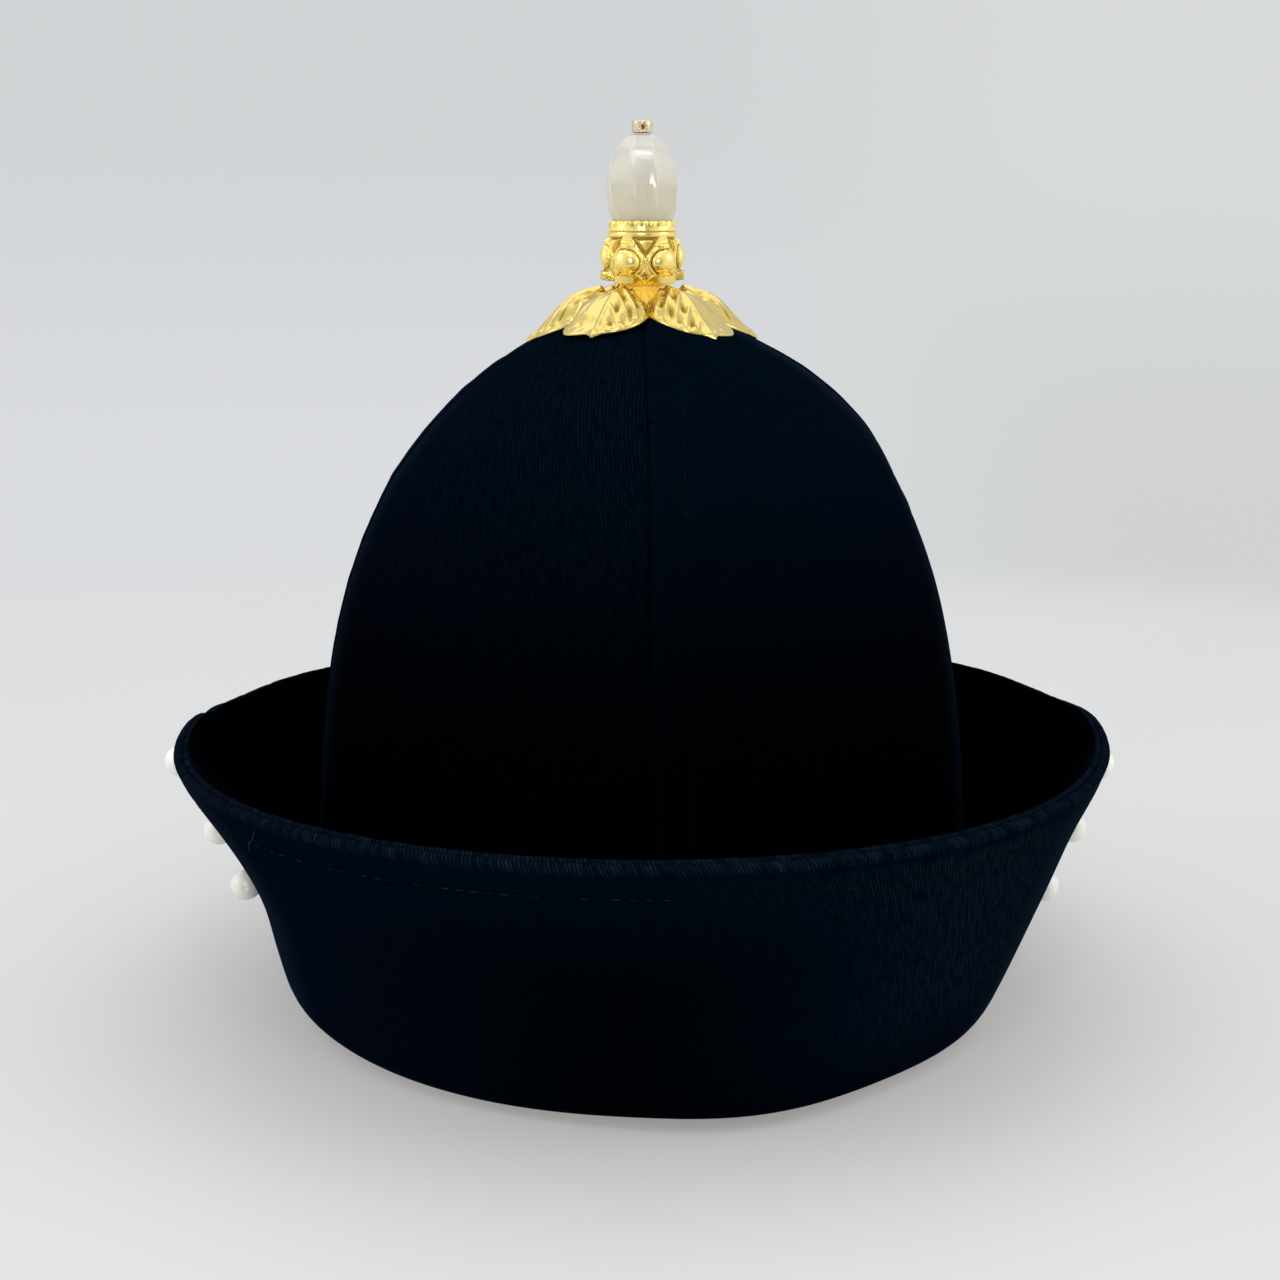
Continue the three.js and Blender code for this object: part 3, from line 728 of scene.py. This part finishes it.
def brim_layer(name, near_depth, far_depth, root, seed, stitched):
    """One cloth layer: its face, its squarish upper edge and its back as rows carried round the
    oval, from a join at the front. Towards the rim the outer, stitched layer grows thicker and the
    inner one thinner, and the gap between them closes to half. The outer layer's face has a
    stitched groove below the rim, deeper on the left of the back, and soft waves that go by the
    place in the plan; the edge is slightly ragged."""
    line, inward, run = brim_line(root)
    total = run[-1]
    fine = np.r_[np.linspace(0, 14, 12)[:-1], np.linspace(14, total - 13, 24)[:-1],
                 np.linspace(total - 13, total, 27)]
    coarse = np.r_[np.linspace(0, 14, 8)[:-1], np.linspace(14, total, 9)]
    direction = np.linspace(math.pi / 2, TAU + math.pi / 2, BRIM_COLUMNS + 1)[None, :]
    near_more, far_more = (0, LAYER_SHIFT) if stitched else (LAYER_SHIFT - GAP_CLOSED, 0)

    def rows(at, depth, more):
        """Points, inward normals and depths at distances along the line."""
        shifted = depth + more * rise(at, total - SHIFT_REACH, total)
        return along_line(at, run, line), unit(along_line(at, run, inward)), shifted

    face, face_in, face_depth = rows(fine, near_depth, near_more)
    back, back_in, back_depth = rows(coarse[::-1], far_depth, far_more)
    near_rim = near_depth + near_more
    half = (far_depth + far_more - near_rim) / 2
    turn = np.radians(np.linspace(0, 180, 11))[1:-1]
    normal = face_in[-1]
    edge = face[-1] + 0.55 * half * np.sin(turn)[:, None] ** 0.6 * np.array([normal[1], -normal[0]])
    point = np.vstack([face, edge, back])
    normals = np.vstack([face_in, np.repeat(normal[None], len(turn), 0), back_in])
    across = np.sign(np.cos(turn)) * np.abs(np.cos(turn)) ** 0.6
    depth = np.r_[face_depth, near_rim + half - half * across, back_depth][:, None]
    below = np.r_[total - fine, np.zeros(len(turn)), np.full(len(back), BACK_ROW)][:, None]
    height = np.r_[face[:, 1], np.full(len(turn), RIM_HEIGHT), back[:, 1]][:, None] + 0 * direction
    on_face = (np.arange(len(point)) < len(face))[:, None]
    east, north = MEAN_RADIUS * np.cos(direction), MEAN_RADIUS * np.sin(direction)
    out = 0.40 * uneven(east + 0.5 * below, north + 0.3 * below, 75, seed)
    out = out * rise(below, 0, 10) * rise(height, 6, 16)
    fray = 0.55 + 0.45 * uneven(east, north, 5, seed + 4)
    wear_and_painted_light = (np.where(below < 0.8, 0.8, 0.0) + 0.1 * ridge(below - 1.2, 0.9)) * fray
    if stitched:
        seam = below - BRIM_STITCH_DROP
        out = out - 0.34 * ridge(seam, 0.5) * (0.05 + 0.95 * (1 - rise(east, -10, 40)))
        out = out + 0.10 * uneven(east + 0.2 * below, north, 7, seed + 1) * ridge(seam, 4)
        out = out + 0.16 * ridge(below - BRIM_STITCH_DROP / 2, 2.8)
        from_middle = (direction + math.pi / 2 + math.pi) % TAU - math.pi
        wall = rise(below, 1.5, 4)
        # Painted shade: the lower face at the middle of the back is darkened.
        wear_and_painted_light = wear_and_painted_light - 0.7 * ridge(from_middle + 0.05, 0.5) * (1 - rise(height, 36, 66)) * wall
        # Painted sheen: the rib crests are greyed on the face to the right of the back.
        wear_and_painted_light = wear_and_painted_light + 0.6 * ridge(from_middle - 0.72, 0.42) * rise(height, 4, 26) * wall
    out = np.where(on_face & stitched, out, 0.0)
    # On a layer's back the mark is 0, but the inner layer's back, facing the crown, gets painted shade nearly
    # to black.
    wear_and_painted_light = np.where(below == BACK_ROW, 0 if stitched else -0.9, wear_and_painted_light) + 0 * direction
    ragged = 0.09 * uneven(east, north, 9, seed + 2) + 0.05 * uneven(east, north, 2.4, seed + 3)
    half_width = point[:, :1] + normals[:, :1] * (depth - out)
    level = point[:, 1:] + normals[:, 1:] * (depth - out) + ragged * (below < 2)
    level = np.where(on_face & (height <= 0), np.maximum(level, near_depth), level)
    level = level + bumps(RIM_KICKS, direction) * rise(height, 30, RIM_HEIGHT)
    place = shape_brim(half_width, direction, level, height)
    flat_run = np.r_[fine, total + half * (1 - np.cos(turn)), coarse[::-1]][:, None]
    flat = np.stack([MEAN_RADIUS * direction + 0 * height, flat_run + 0 * height], -1)
    place, flat, wear_and_painted_light = (np.concatenate([grid, grid[:1]], 0) for grid in (place, flat, wear_and_painted_light))
    piece(name, [sheet(place, flat, wear_and_painted_light)], brim_cloth, [name], crisp=60)


def brim_stitches():
    """Places and axes of the stitches a set drop below the rim, one each stitch length round."""
    line, _, run = brim_line(OPENING_HALF_WIDTH)

    def on_wall(direction, higher):
        """Points on the wall at the stitches' level, or a step higher."""
        half_width, height = along_line(run[-1] - BRIM_STITCH_DROP + higher, run, line)
        height = height + 0 * direction
        return shape_brim(half_width, direction, height, height)

    even = np.linspace(0, TAU, 2000)
    length = distance_along(on_wall(even, 0))
    count = int(length[-1] / BRIM_STITCH)
    direction = np.interp(np.arange(count) * length[-1] / count, length, even)
    place = on_wall(direction, 0)
    along = unit(on_wall(direction + 1e-3, 0) - place)
    normal = unit(np.cross(along, unit(on_wall(direction, 1.0) - place)))
    return place + normal * 0.02, axes_of(along, normal)


def on_brim_wall(direction, height):
    """Points on the brim's outside wall, with the kicks of the rim left out."""
    return shape_brim(WALL_FOOT + WALL_SLOPE * height, direction, height, height)


def thread_tail():
    """Loose end of the brim's thread: a thin tube along a bent line on the wall, left of the back."""
    degrees, height = rounded_profile(TAIL_ROUTE, 0.25).T
    line = on_brim_wall(np.radians(degrees), height)
    along = unit(np.gradient(line, axis=0))
    aside = unit(np.cross(along, unit(line * [1, 1, 0])))
    aside, out = aside[:, None], np.cross(aside, along)[:, None]
    thick = TAIL_THICKNESS * np.sin(np.linspace(0, math.pi, len(line)))[:, None, None] ** 0.2
    turn = np.linspace(0, TAU, 7)[None, :, None]
    tube = line[:, None] + (np.cos(turn) * aside + np.sin(turn) * out) * thick + 0.25 * out
    return sheet(tube, None, 3 * np.ones(tube.shape[:2]))


# Finial

def crown_top(x, y):
    """Height of the crown's outside over a point of the plan, with the lean undone once."""

    def height_at(across):
        """The outline solved for its height: H (1 - reach^shoulder)^(1/dome)."""
        reach = np.hypot(across, y / PLAN_RATIO) / CROWN_HALF_WIDTH
        return CROWN_HEIGHT * (1 - reach**CROWN_SHOULDER) ** (1 / CROWN_DOME)

    aside = x**2 / np.maximum(x**2 + (y / PLAN_RATIO) ** 2, 1e-6)
    return height_at(x - crown_lean(height_at(x)) * aside) - crown_sag(x)


def petal_share(angle):
    """0 on a leaf's rib, 1 at the cleft beside it, for an angle from -Y."""
    width = TAU / PETALS
    return np.abs((angle - FINIAL_TURN) % width - width / 2) / (width / 2)


def from_back(angle):
    """Degrees from the centre-back cleft, either way round."""
    return np.degrees(apart(angle, FINIAL_TURN))


def outer_flank(angle):
    """1 on the flanks, away from the centre back, of the two leaves beside it, else 0."""
    return rise(from_back(angle), 30, 33) * (from_back(angle) < 60)


def petal_reach(angle):
    """Radius of the leaves' outline: a broad lobe with a small point at its tip. The clefts at both
    sides of the back are shallower, the flanks before them fuller, and the leaves at the sides and
    at the left of the back a little shorter."""
    share = petal_share(angle)
    power = 2.4 + 3.4 * outer_flank(angle)
    cleft = CLEFT_RADIUS + SHALLOW_CLEFT * ridge(from_back(angle) - 60, 18)
    lobe = cleft + (PETAL_RADIUS - cleft) * (1 - share**power)
    length = lobe + PETAL_TIP * np.maximum(0, 1 - share / 0.2) ** 1.5
    from_left = apart(angle, FINIAL_TURN - math.pi / PETALS)
    return length * (1 - SIDE_LEAF_SHORTER * np.sin(angle) ** 2) - LEFT_LEAF_SHORTER * ridge(from_left, 0.35)


def petal_cap():
    """Six arched leaves whose edges come down on the cloth. Rows run from the bore to the outline.
    Each leaf has a rib, slanting veins, pits between the veins, and a beaded edge, but the outer
    flanks beside the centre back are nearly smooth. The back follows the same arch."""
    columns = PETALS * 110
    angle = np.linspace(0, TAU, columns + 1)[None, :] + FINIAL_TURN
    reach = petal_reach(angle)
    inner = POST_RADIUS + 0.3
    rho = np.r_[np.linspace(0, 0.2, 6)[:-1], np.linspace(0.2, 1, 68)][:, None]
    radius = inner + (reach - inner) * rho
    share = petal_share(angle)
    off = share * math.pi / PETALS
    aside, out = radius * np.sin(off), radius * np.cos(off)
    edge = (reach - radius) * np.cos(0.9 * off)
    worked = 1 - 0.85 * outer_flank(angle)
    veins = (out - 1.05 * aside) / 4.2
    cell = np.abs(veins % 1 - 0.5) * 4.2
    body = rise(radius, 8.2, 11) * rise(edge, 0.5, 2.2)
    rib = ridge(aside, 0.6) * body
    vein = (0.5 + 0.5 * np.cos(TAU * veins)) ** 5 * body * (1 - ridge(aside, 0.8)) * worked
    pit = (ridge(np.hypot(cell, aside - 2.9), 0.9) + ridge(np.hypot(cell, aside - 6.3), 1.0)) * body
    pit = pit * rise(edge, 1.4, 2.8) * worked
    cleft = ridge(share - 1, 0.05) * rise(radius, 10, 13) * 0.5
    dimples = ridge(np.hypot((out - 24) % 3.5 - 1.7, aside - 5.5), 0.3) * (1 - worked) * rise(edge, 1, 2)
    hammered = uneven(radius * np.sin(angle), radius * np.cos(angle), 6, 31) * body
    beads = ridge(edge - 0.9, 0.7) * (0.4 + 0.6 * np.cos(54 * angle)) * worked
    behind = ridge(from_back(angle), 20)
    fall = 0.15 + 0.5 * (1 - behind)
    arch = rise(radius, 7.2, 11) * (1 - rise(radius, 17, 30))
    arch = PETAL_ARCH * arch * (fall + (1 - fall) * np.cos(share * math.pi / 2) ** (0.7 + 0.5 * behind))
    arch = arch * rise(edge, -0.3, 5)

    def laid(level, size):
        """Points at a radius and a level over the crown."""
        x, y = size * np.sin(angle), -size * np.cos(angle)
        return np.stack([x, y, crown_top(x, y) + level], -1)

    relief = 0.7 * rib + 0.42 * vein - 1.0 * pit - 0.6 * cleft + 0.7 * beads + 0.16 * hammered - 0.4 * dimples
    top = laid(PETAL_LIFT + PETAL_SHEET - 0.25 + arch + relief, radius)
    turn = np.radians([30, 70, 110, 150])[:, None]
    edge_level = PETAL_LIFT + arch[-1:] + (PETAL_SHEET - 0.25) * (0.5 + 0.5 * np.cos(turn))
    rim = laid(edge_level, reach + 0.35 * np.sin(turn))
    below = laid(PETAL_LIFT + arch[::-3], radius[::-3])
    points = np.concatenate([top, rim, below, top[:1]], 0)
    # Painted shade: the pits and dimples are darkened.
    painted_shade = np.clip(1.5 * pit**1.5 + 0.8 * dimples, 0, 1)
    plain = np.zeros((len(rim) + len(below), columns + 1))
    return sheet(points, None, np.concatenate([painted_shade, plain, painted_shade[:1]], 0))


def bead_ring(radius, height, size, count):
    """Beads of a half-size set round a circle."""
    angle = TAU * np.arange(count) / count
    places = np.stack([radius * np.sin(angle), -radius * np.cos(angle), height + 0 * angle], -1)
    return copies(pebble((size, size, size)), places, np.repeat(np.eye(3)[None], count, 0))


def collar_parts():
    """Stem that flares to a fluted foot, longer in the clefts between the leaves, under a ring of
    beads."""
    wall = rounded_profile([(6.9, 1.95), (7.3, 2.3), (6.7, 2.9), (5.9, 3.6), (5.3, 4.2), (5.1, 4.6),
                            (5.3, 5.1), (5.3, 5.5), (4.9, 5.9), (4.4, 6.1)], 0.1)
    profile = np.vstack([[0, 4.5], [1.8, 4.5], [1.8, 1.95], wall, [0, 6.1]])

    def flutes(angle, radius, height):
        """Added radius and height: 18 rounded flutes, and the foot let down in six places."""
        deep = rise(radius, 3.8, 4.4) * (1 - rise(height, 4.3, 4.8))
        foot = (0.5 + 0.5 * np.cos(PETALS * angle)) ** 2 * rise(radius, 5.3, 7.0)
        wave = deep * 0.75 * (np.abs(np.cos(9 * angle)) ** 0.7 - 0.6)
        return wave + 3.0 * foot, -0.95 * foot

    def shade(angle, _, height):
        """Painted shade in the bottoms of the flutes."""
        return 0.5 * (1 - np.abs(np.cos(9 * angle))) ** 2 * (1 - rise(height, 4.2, 4.6))

    return [turned(profile, 288, flutes, shade), bead_ring(5.4, 5.3, 0.8, 22)]


def lantern_part():
    """Body with six domed bosses over thick lips, and between them framed triangles that point
    down to small leaves: all heights added to a turned wall. The two bosses at the back stand a
    little lower, and further apart than the rest."""
    wall = rounded_profile([(5.4, 6.15), (6.3, 6.4), (7.6, 7.3), (8.4, 8.6), (8.75, 10.5), (8.8, 13.0),
                            (8.8, 17.2), (8.8, 18.4), (8.85, 19.2), (8.75, 19.72)], 0.13)
    spacing = TAU / PETALS

    def parts(angle, radius, height):
        """Relief in mm and painted shade from 0 to 1."""
        angle = angle - BOSSES_APART * np.sin(2 * angle)
        from_boss = (angle % spacing - spacing / 2) * BODY_RADIUS
        from_gap = ((angle + spacing / 2) % spacing - spacing / 2) * BODY_RADIUS
        between_ends = rise(radius, 5.8, 6.8) * (1 - rise(height, 18.9, 19.4))
        up = height - BOSS_HEIGHT + BOSSES_LOWER * np.maximum(np.cos(angle), 0)
        reach = np.hypot(from_boss, up)
        dome = np.where(reach < 3.3, 0.3 + 2.0 * np.sqrt(np.maximum(0, 1 - (reach / 3.3) ** 2)), 0)
        across = 1 - rise(np.abs(from_boss), 1.9, 2.9)
        lip = rise(up, -6.2, -5.6) * (1 - rise(up, -3.7, -3.4)) * across
        mouth = rise(up, -3.7, -3.5) * (1 - rise(up, -3.1, -2.8)) * across
        horn = rise(up, 2.6, 3.4) * (1 - rise(up, 4.3, 5.0)) * (1 - rise(np.abs(from_boss), 0.6, 2.4))
        frame = 0.35 * rise(reach, 3.3, 3.5) * (1 - rise(reach, 3.9, 4.4))
        top, point, half = 18.35, 13.6, 3.1
        slant = (np.abs(from_gap) * (top - point) - (height - point) * half) / math.hypot(top - point, half)
        inside = np.maximum(slant, height - top)
        line = ridge(inside + 0.15, 0.34)
        plate = 0.6 * (1 - rise(inside, -0.9, -0.5))
        over = 1 - rise(inside, 0.1, 0.4)
        stem = ridge(from_gap, 0.3) * rise(height, 9.0, 9.8) * (1 - rise(height, 12.9, 13.4))
        spread = np.abs(np.abs(from_gap) - 1.15 * (height - 6.9) * (height > 6.9))
        leaf = ridge(spread, 0.35) * rise(height, 7.3, 7.9) * (1 - rise(height, 9.4, 10.2))
        free = rise(reach, 3.3, 3.6) * (1 - lip)
        out = np.maximum.reduce([dome, frame, (11.1 - radius) * lip, 1.3 * mouth, 1.2 * horn])
        relief = out * (1 - over) + (plate - 0.6 * line) * over + (0.5 * stem + 0.42 * leaf) * free
        # Painted shade: a ring round each boss, strongest at its upper left, the triangles' lines, beside the
        # stems and small leaves, the mouths of the side bosses and over the lower lips.
        upper_left = 0.35 + 0.65 * rise(up * 0.7 - from_boss, -1, 2)
        painted_shade = ridge(reach - 3.35, 0.16) * upper_left * (1 - over) * (1 - lip) + 0.85 * line * over
        painted_shade = painted_shade + 0.5 * ridge(np.abs(from_gap) - 0.45, 0.2) * rise(height, 11, 12) * (height < 13.6)
        painted_shade = painted_shade + 0.4 * ridge(spread - 0.6, 0.22) * free * (height < 9.8) + mouth * np.sin(angle) ** 4
        painted_shade = painted_shade + 0.3 * lip * (1 - rise(height, 8.6, 9.6))
        return relief * between_ends, np.clip(painted_shade, 0, 1) * between_ends

    def shape(angle, radius, height):
        """Added radius and height: the relief alone."""
        return parts(angle, radius, height)[0], 0 * radius

    def shade(angle, radius, height):
        """The painted shade, worked out on the wall without its relief."""
        return parts(angle, np.minimum(radius, BODY_RADIUS), height)[1]

    return turned(closed(wall), 480, shape, shade)


def cup_parts():
    """Short straight cup with upright grooves under an uneven rim of small teeth, and a line of
    beads."""
    wall = rounded_profile([(8.6, 19.8), (8.85, 20.0), (8.8, 20.7), (8.7, 21.5), (8.55, 22.3), (8.3, 22.6),
                            (7.95, 22.4), (7.75, 21.8)], 0.12)

    def wave(angle):
        """20 waves round the cup that wander a little, from 0 to 1."""
        return 0.5 + 0.5 * np.cos(20 * angle + 1.3 * np.sin(3 * angle) + 0.8 * np.sin(7 * angle))

    def teeth(angle, radius, height):
        """Added radius and height: the waves, grown in towards the rim."""
        tooth = rise(height, 20.9, 22.2) * rise(radius, 7.8, 8.1) * (wave(angle) - 0.5)
        return 0.3 * tooth, 0.32 * tooth * (0.6 + 0.4 * np.cos(5 * angle + 1))

    def shade(angle, radius, height):
        """Painted shade in the slots between the teeth."""
        slot = (1 - wave(angle)) ** 3 * rise(height, 20.9, 21.3) * (1 - rise(height, 21.9, 22.3))
        return slot * rise(radius, 8.2, 8.4) * (0.3 + 0.7 * rise(np.cos(3 * angle), -0.4, 0.6))

    return [turned(closed(wall), 480, teeth, shade), bead_ring(8.72, 20.35, 0.3, 46)]


def crystal_part():
    """Stone turned from foot to neck with eight flat facets: the radius in each direction is the
    facet's distance over the cosine of the angle from its middle, eased to a circle at the foot.
    The facet edges wander, the one left of the back leans, and a painted highlight crosses the facet
    at the back."""
    wall = rounded_profile([(6.9, 22.1), (7.6, 22.8), (8.4, 24.8), (8.95, 27.2), (9.15, 29.5),
                            (9.15, 32.5), (8.7, 35.5), (7.85, 38.4), (6.7, 41.0), (5.0, 43.0),
                            (3.4, 44.3), (2.4, 44.6)], 0.28)
    width = TAU / FACETS

    def from_middle(angle, height):
        """Angle from the middle of the nearest facet."""
        signed = (angle + math.pi) % TAU - math.pi
        left = rise(signed, 0.25, -0.05) * rise(signed, -1.6, -1.0)
        lean = 0.022 * np.clip(40 - height, 0, 15) * left
        wander = STONE_TURN + 0.03 * np.sin(height * 0.7) - lean
        return (angle + wander + width / 2) % width - width / 2

    def facets(angle, radius, height):
        """Added radius: 1 / cos of the angle from the facet's middle, less 1, times the radius."""
        corner = np.minimum(1 / np.cos(from_middle(angle, height)) - 1, 0.070)
        flatness = rise(height, 24.5, 28.5) * (1 - 0.3 * rise(height, 42, 44.5))
        return radius * (corner * flatness + 0.036 * (1 - flatness)), 0 * radius

    def shade(angle, radius, height):
        """Painted highlights: pale lines along the facet edges, broken here and there, and a patch across the
        facet at the back.
        """
        off = np.abs(from_middle(angle, height)) * radius
        line_breaks = rise(uneven(angle * 3, height, 9, 77), -0.5, 0.3)
        line = ridge(off - radius * width / 2, 0.15) * rise(height, 25, 26) * (1 - rise(height, 42, 44))
        aside = radius * np.sin(angle)
        # Painted highlight: a pale patch across the facet at the back.
        painted_highlight = rise(height, 38.0 - 0.3 * aside, 38.5 - 0.3 * aside) * (1 - rise(height, 40.2, 41.0))
        painted_highlight = painted_highlight * (1 - rise(np.abs(aside + 0.4), 1.6, 2.4)) * (np.cos(angle) > 0)
        return line * line_breaks + 0.8 * painted_highlight

    return turned(closed(wall), 320, facets, shade)


def tip_part():
    """Squat boxy bead with a small drilled dimple at the back and the front."""
    wall = rounded_profile([(2.2, 44.9), (2.65, 45.1), (2.72, 45.6), (2.72, 47.4), (2.6, 48.0),
                            (2.1, 48.2)], 0.12)

    def from_hole(angle, height):
        """Distance from the nearer of the two holes."""
        return np.hypot(np.abs(np.sin(angle)) * 2.7, height - 46.4)

    def dimple(angle, radius, height):
        """Added radius: a pit with a low rim round it."""
        off = from_hole(angle, height)
        return (0.12 * ridge(off - 1.05, 0.3) - 0.9 * ridge(off, 0.6)) * rise(radius, 2.0, 2.5), 0 * radius

    def shade(angle, _, height):
        """Painted shade in the hole."""
        return np.clip(1.3 * ridge(from_hole(angle, height), 0.5), 0, 1)

    return turned(closed(wall), 120, dimple, shade)


# Pearls

def pearl_row(row, height, first, last):
    """One row of pearls, a radius and a small lift off the wall and a little higher on the left:
    round but for a dimple at each end of the drilling, which runs level along the wall."""
    direction = np.radians(np.linspace(first, last, PEARLS_PER_ROW))
    c, s = np.cos(direction), np.sin(direction)
    out = unit(np.stack([c, s / PLAN_RATIO, -WALL_SLOPE + 0 * c], -1))
    places = on_brim_wall(direction, height - PEARL_TILT * c) + out * (PEARL_RADIUS + PEARL_LIFT)
    points, faces, flat, marks = pebble((PEARL_RADIUS,) * 3, 24, 24)
    from_pole = np.hypot(points[:, 1], points[:, 2])
    points = points * (1 - 0.08 * ridge(from_pole, 0.45))[:, None]
    axes = axes_of(unit(np.cross(np.array([0, 0, 1.0]), out)), out)
    names = [f"pearl_{row}_{i + 1:02d}" for i in range(PEARLS_PER_ROW)]
    piece(f"pearls_{row}", [copies((points, faces, flat, marks), places, axes)], lustre, names)


# The pieces

for number, (corner, cloth) in enumerate((("front_right", raking_lit_twill), ("front_left", softly_lit_twill),
                                          ("back_left", raking_lit_twill), ("back_right", softly_lit_twill))):
    crown_panel(f"crown_panel_{corner}", number * math.pi / 2, cloth, 11 + number)

brim_layer("brim_outer_layer", 0.0, LAYER, OPENING_HALF_WIDTH, 21, True)
brim_layer("brim_inner_layer", LAYER + LAYER_GAP, 2 * LAYER + LAYER_GAP, INNER_ROOT, 22, False)

worn_out = np.random.default_rng(5)
seams = [crown_stitches(quarter * math.pi / 2) for quarter in range(4)]
# Painted shade: the crown's stitches take the thread's darkest colour below 95 mm, fading in up to 130 mm,
# like the cloth round them.
piece("crown_topstitching",
      [copies(pebble(CROWN_THREAD), places, axes,
              0.5 * worn_out.random(len(places)) ** 2 * rise(places[:, 2], 95, 130))
       for places, axes in seams], thread)
places, axes = brim_stitches()
stands_out = 0.22 + 0.3 * (1 - rise(places[:, 0], -5, 25)) * (places[:, 1] < 0)
stands_out = stands_out * (0.3 + 1.3 * worn_out.random(len(places)) ** 2)
piece("brim_topstitching", [copies(pebble(BRIM_THREAD), places, axes, stands_out), thread_tail()],
      thread)

piece("finial_petal_cap", [petal_cap()], leaf_gilt, ["finial_petal_cap"], crisp=60)
for name, parts, finish, slot, crisp in (
        ("finial_collar", collar_parts(), warm_gilt, "gold", 55),
        ("finial_lantern", [lantern_part()], gilt, "gold", 60),
        ("finial_cup", cup_parts(), gilt, "gold", 55),
        ("finial_crystal", [crystal_part()], stone, "stone", 12),
        ("finial_tip", [tip_part()], dull_gilt, "gold", None)):
    piece(name, [in_stack(part) for part in parts], finish, [name], crisp)

for row, (height, first, last) in PEARL_ROWS.items():
    pearl_row(row, height, first, last)

post = frame["nodes"]["finial_post"]
post.data.materials.clear()
post.data.materials.append(gilt)


# Floor, light and camera

# Lamps: name, place and aim in metres, size, power and colour.
LAMPS = [("ceiling", (-0.1, 0.40, 1.3), (0, 0, 0.1), 1.5, 5.2, (1.0, 0.985, 0.96)),
         ("front lamp", (-0.1, -1.2, 0.45), (0, 0, 0.15), 0.15, 2.4, (1.0, 0.99, 0.97)),
         ("key lamp", (0.03, -0.98, 1.32), (0, 0, 0.2), 0.2, 1.3, (1.0, 0.995, 0.98)),
         ("left lamp", (-1.3, -0.2, 0.7), (0, 0, 0.08), 0.7, 2.3, (0.98, 0.99, 1.0)),
         ("right lamp", (1.3, -0.2, 0.7), (0, 0, 0.08), 0.7, 2.3, (1.0, 0.99, 0.97))]


def floor():
    """Round table top about the hat, with the top face at height 0."""
    rim = np.linspace(0, TAU, 97)[None, :]
    radius = np.array([0, 250, 900.0])[:, None]
    points = np.stack([radius * np.cos(rim), radius * np.sin(rim), 0 * radius * rim], -1)
    faces = quads(3, 97)
    mesh = bpy.data.meshes.new("table_top")
    mesh.from_pydata((points.reshape(-1, 3) * MM).tolist(), [], faces.tolist())
    mesh.materials.append(table_material())
    made = new_object("table_top", mesh)


def area_light(name, place, aim, size, power, colour):
    """Square soft light at a place, turned towards a point."""
    light = bpy.data.lights.new(name, "AREA")
    light.shape, light.size, light.energy, light.color = "SQUARE", size, power, colour
    made = new_object(name, light)
    x, y, z = np.array(place, float) - np.array(aim, float)
    made.location = place
    made.rotation_euler = (math.atan2(math.hypot(x, y), z), 0, math.atan2(y, x) + math.pi / 2)


def room():
    """Pale surroundings by direction: a wall in front of the lens that lightens downwards, brighter
    space at the sides and overhead, and a dimmer patch behind the lens."""
    world = bpy.data.worlds.new("Pale room")
    world.use_nodes = True
    nodes = Nodes(world.node_tree)
    x, y, z = nodes.split(nodes.add("ShaderNodeTexCoord")["Generated"])
    aside = nodes.fade(x, 0.02, 0.24)
    high = nodes.mix(aside, (0.640, 0.655, 0.670), (0.690, 0.705, 0.718))
    low = nodes.mix(aside, (0.705, 0.720, 0.745), (0.630, 0.650, 0.642))
    wall = nodes.mix(nodes.fade(z, 0.05, -0.13), high, low)
    around = nodes.mix(nodes.fade(y, -0.70, -0.95), (0.93, 0.94, 0.95), (0.36, 0.36, 0.37))
    colour = nodes.mix(nodes.fade(y, 0.90, 0.60), wall, around)
    nodes.feed(world.node_tree.nodes["Background"], {"Color": colour})
    bpy.context.scene.world = world


# The photograph was taken 600 mm from the hat's middle and 208 mm up, looking slightly down, with
# the hat turned a little from square. The numbers are in metres and radians.
CAMERA_DISTANCE, CAMERA_SIDE, CAMERA_HEIGHT = 0.59997, -0.00058, 0.20767
CAMERA_PITCH, CAMERA_TURN = 0.188, math.radians(1.3)
FOCAL_PIXELS, FRAME_PIXELS, SENSOR = 2260.1, 1280, 36.0


def camera():
    """Pinhole at the photograph's place, turned back by the hat's own turn."""
    data = bpy.data.cameras.new("photo_view")
    data.sensor_width = SENSOR
    data.lens = FOCAL_PIXELS / FRAME_PIXELS * SENSOR
    data.clip_start, data.clip_end = 0.01, 20
    made = new_object("photo_view", data)
    c, s = math.cos(CAMERA_TURN), math.sin(CAMERA_TURN)
    x, y = c * CAMERA_SIDE - s * CAMERA_DISTANCE, -s * CAMERA_SIDE - c * CAMERA_DISTANCE
    made.location = (x, y, CAMERA_HEIGHT)
    made.rotation_euler = (math.pi / 2 - CAMERA_PITCH, 0, -CAMERA_TURN)
    bpy.context.scene.camera = made


floor()
room()
for lamp in LAMPS:
    area_light(*lamp)
camera()
bpy.context.scene.view_settings.view_transform = "Standard"
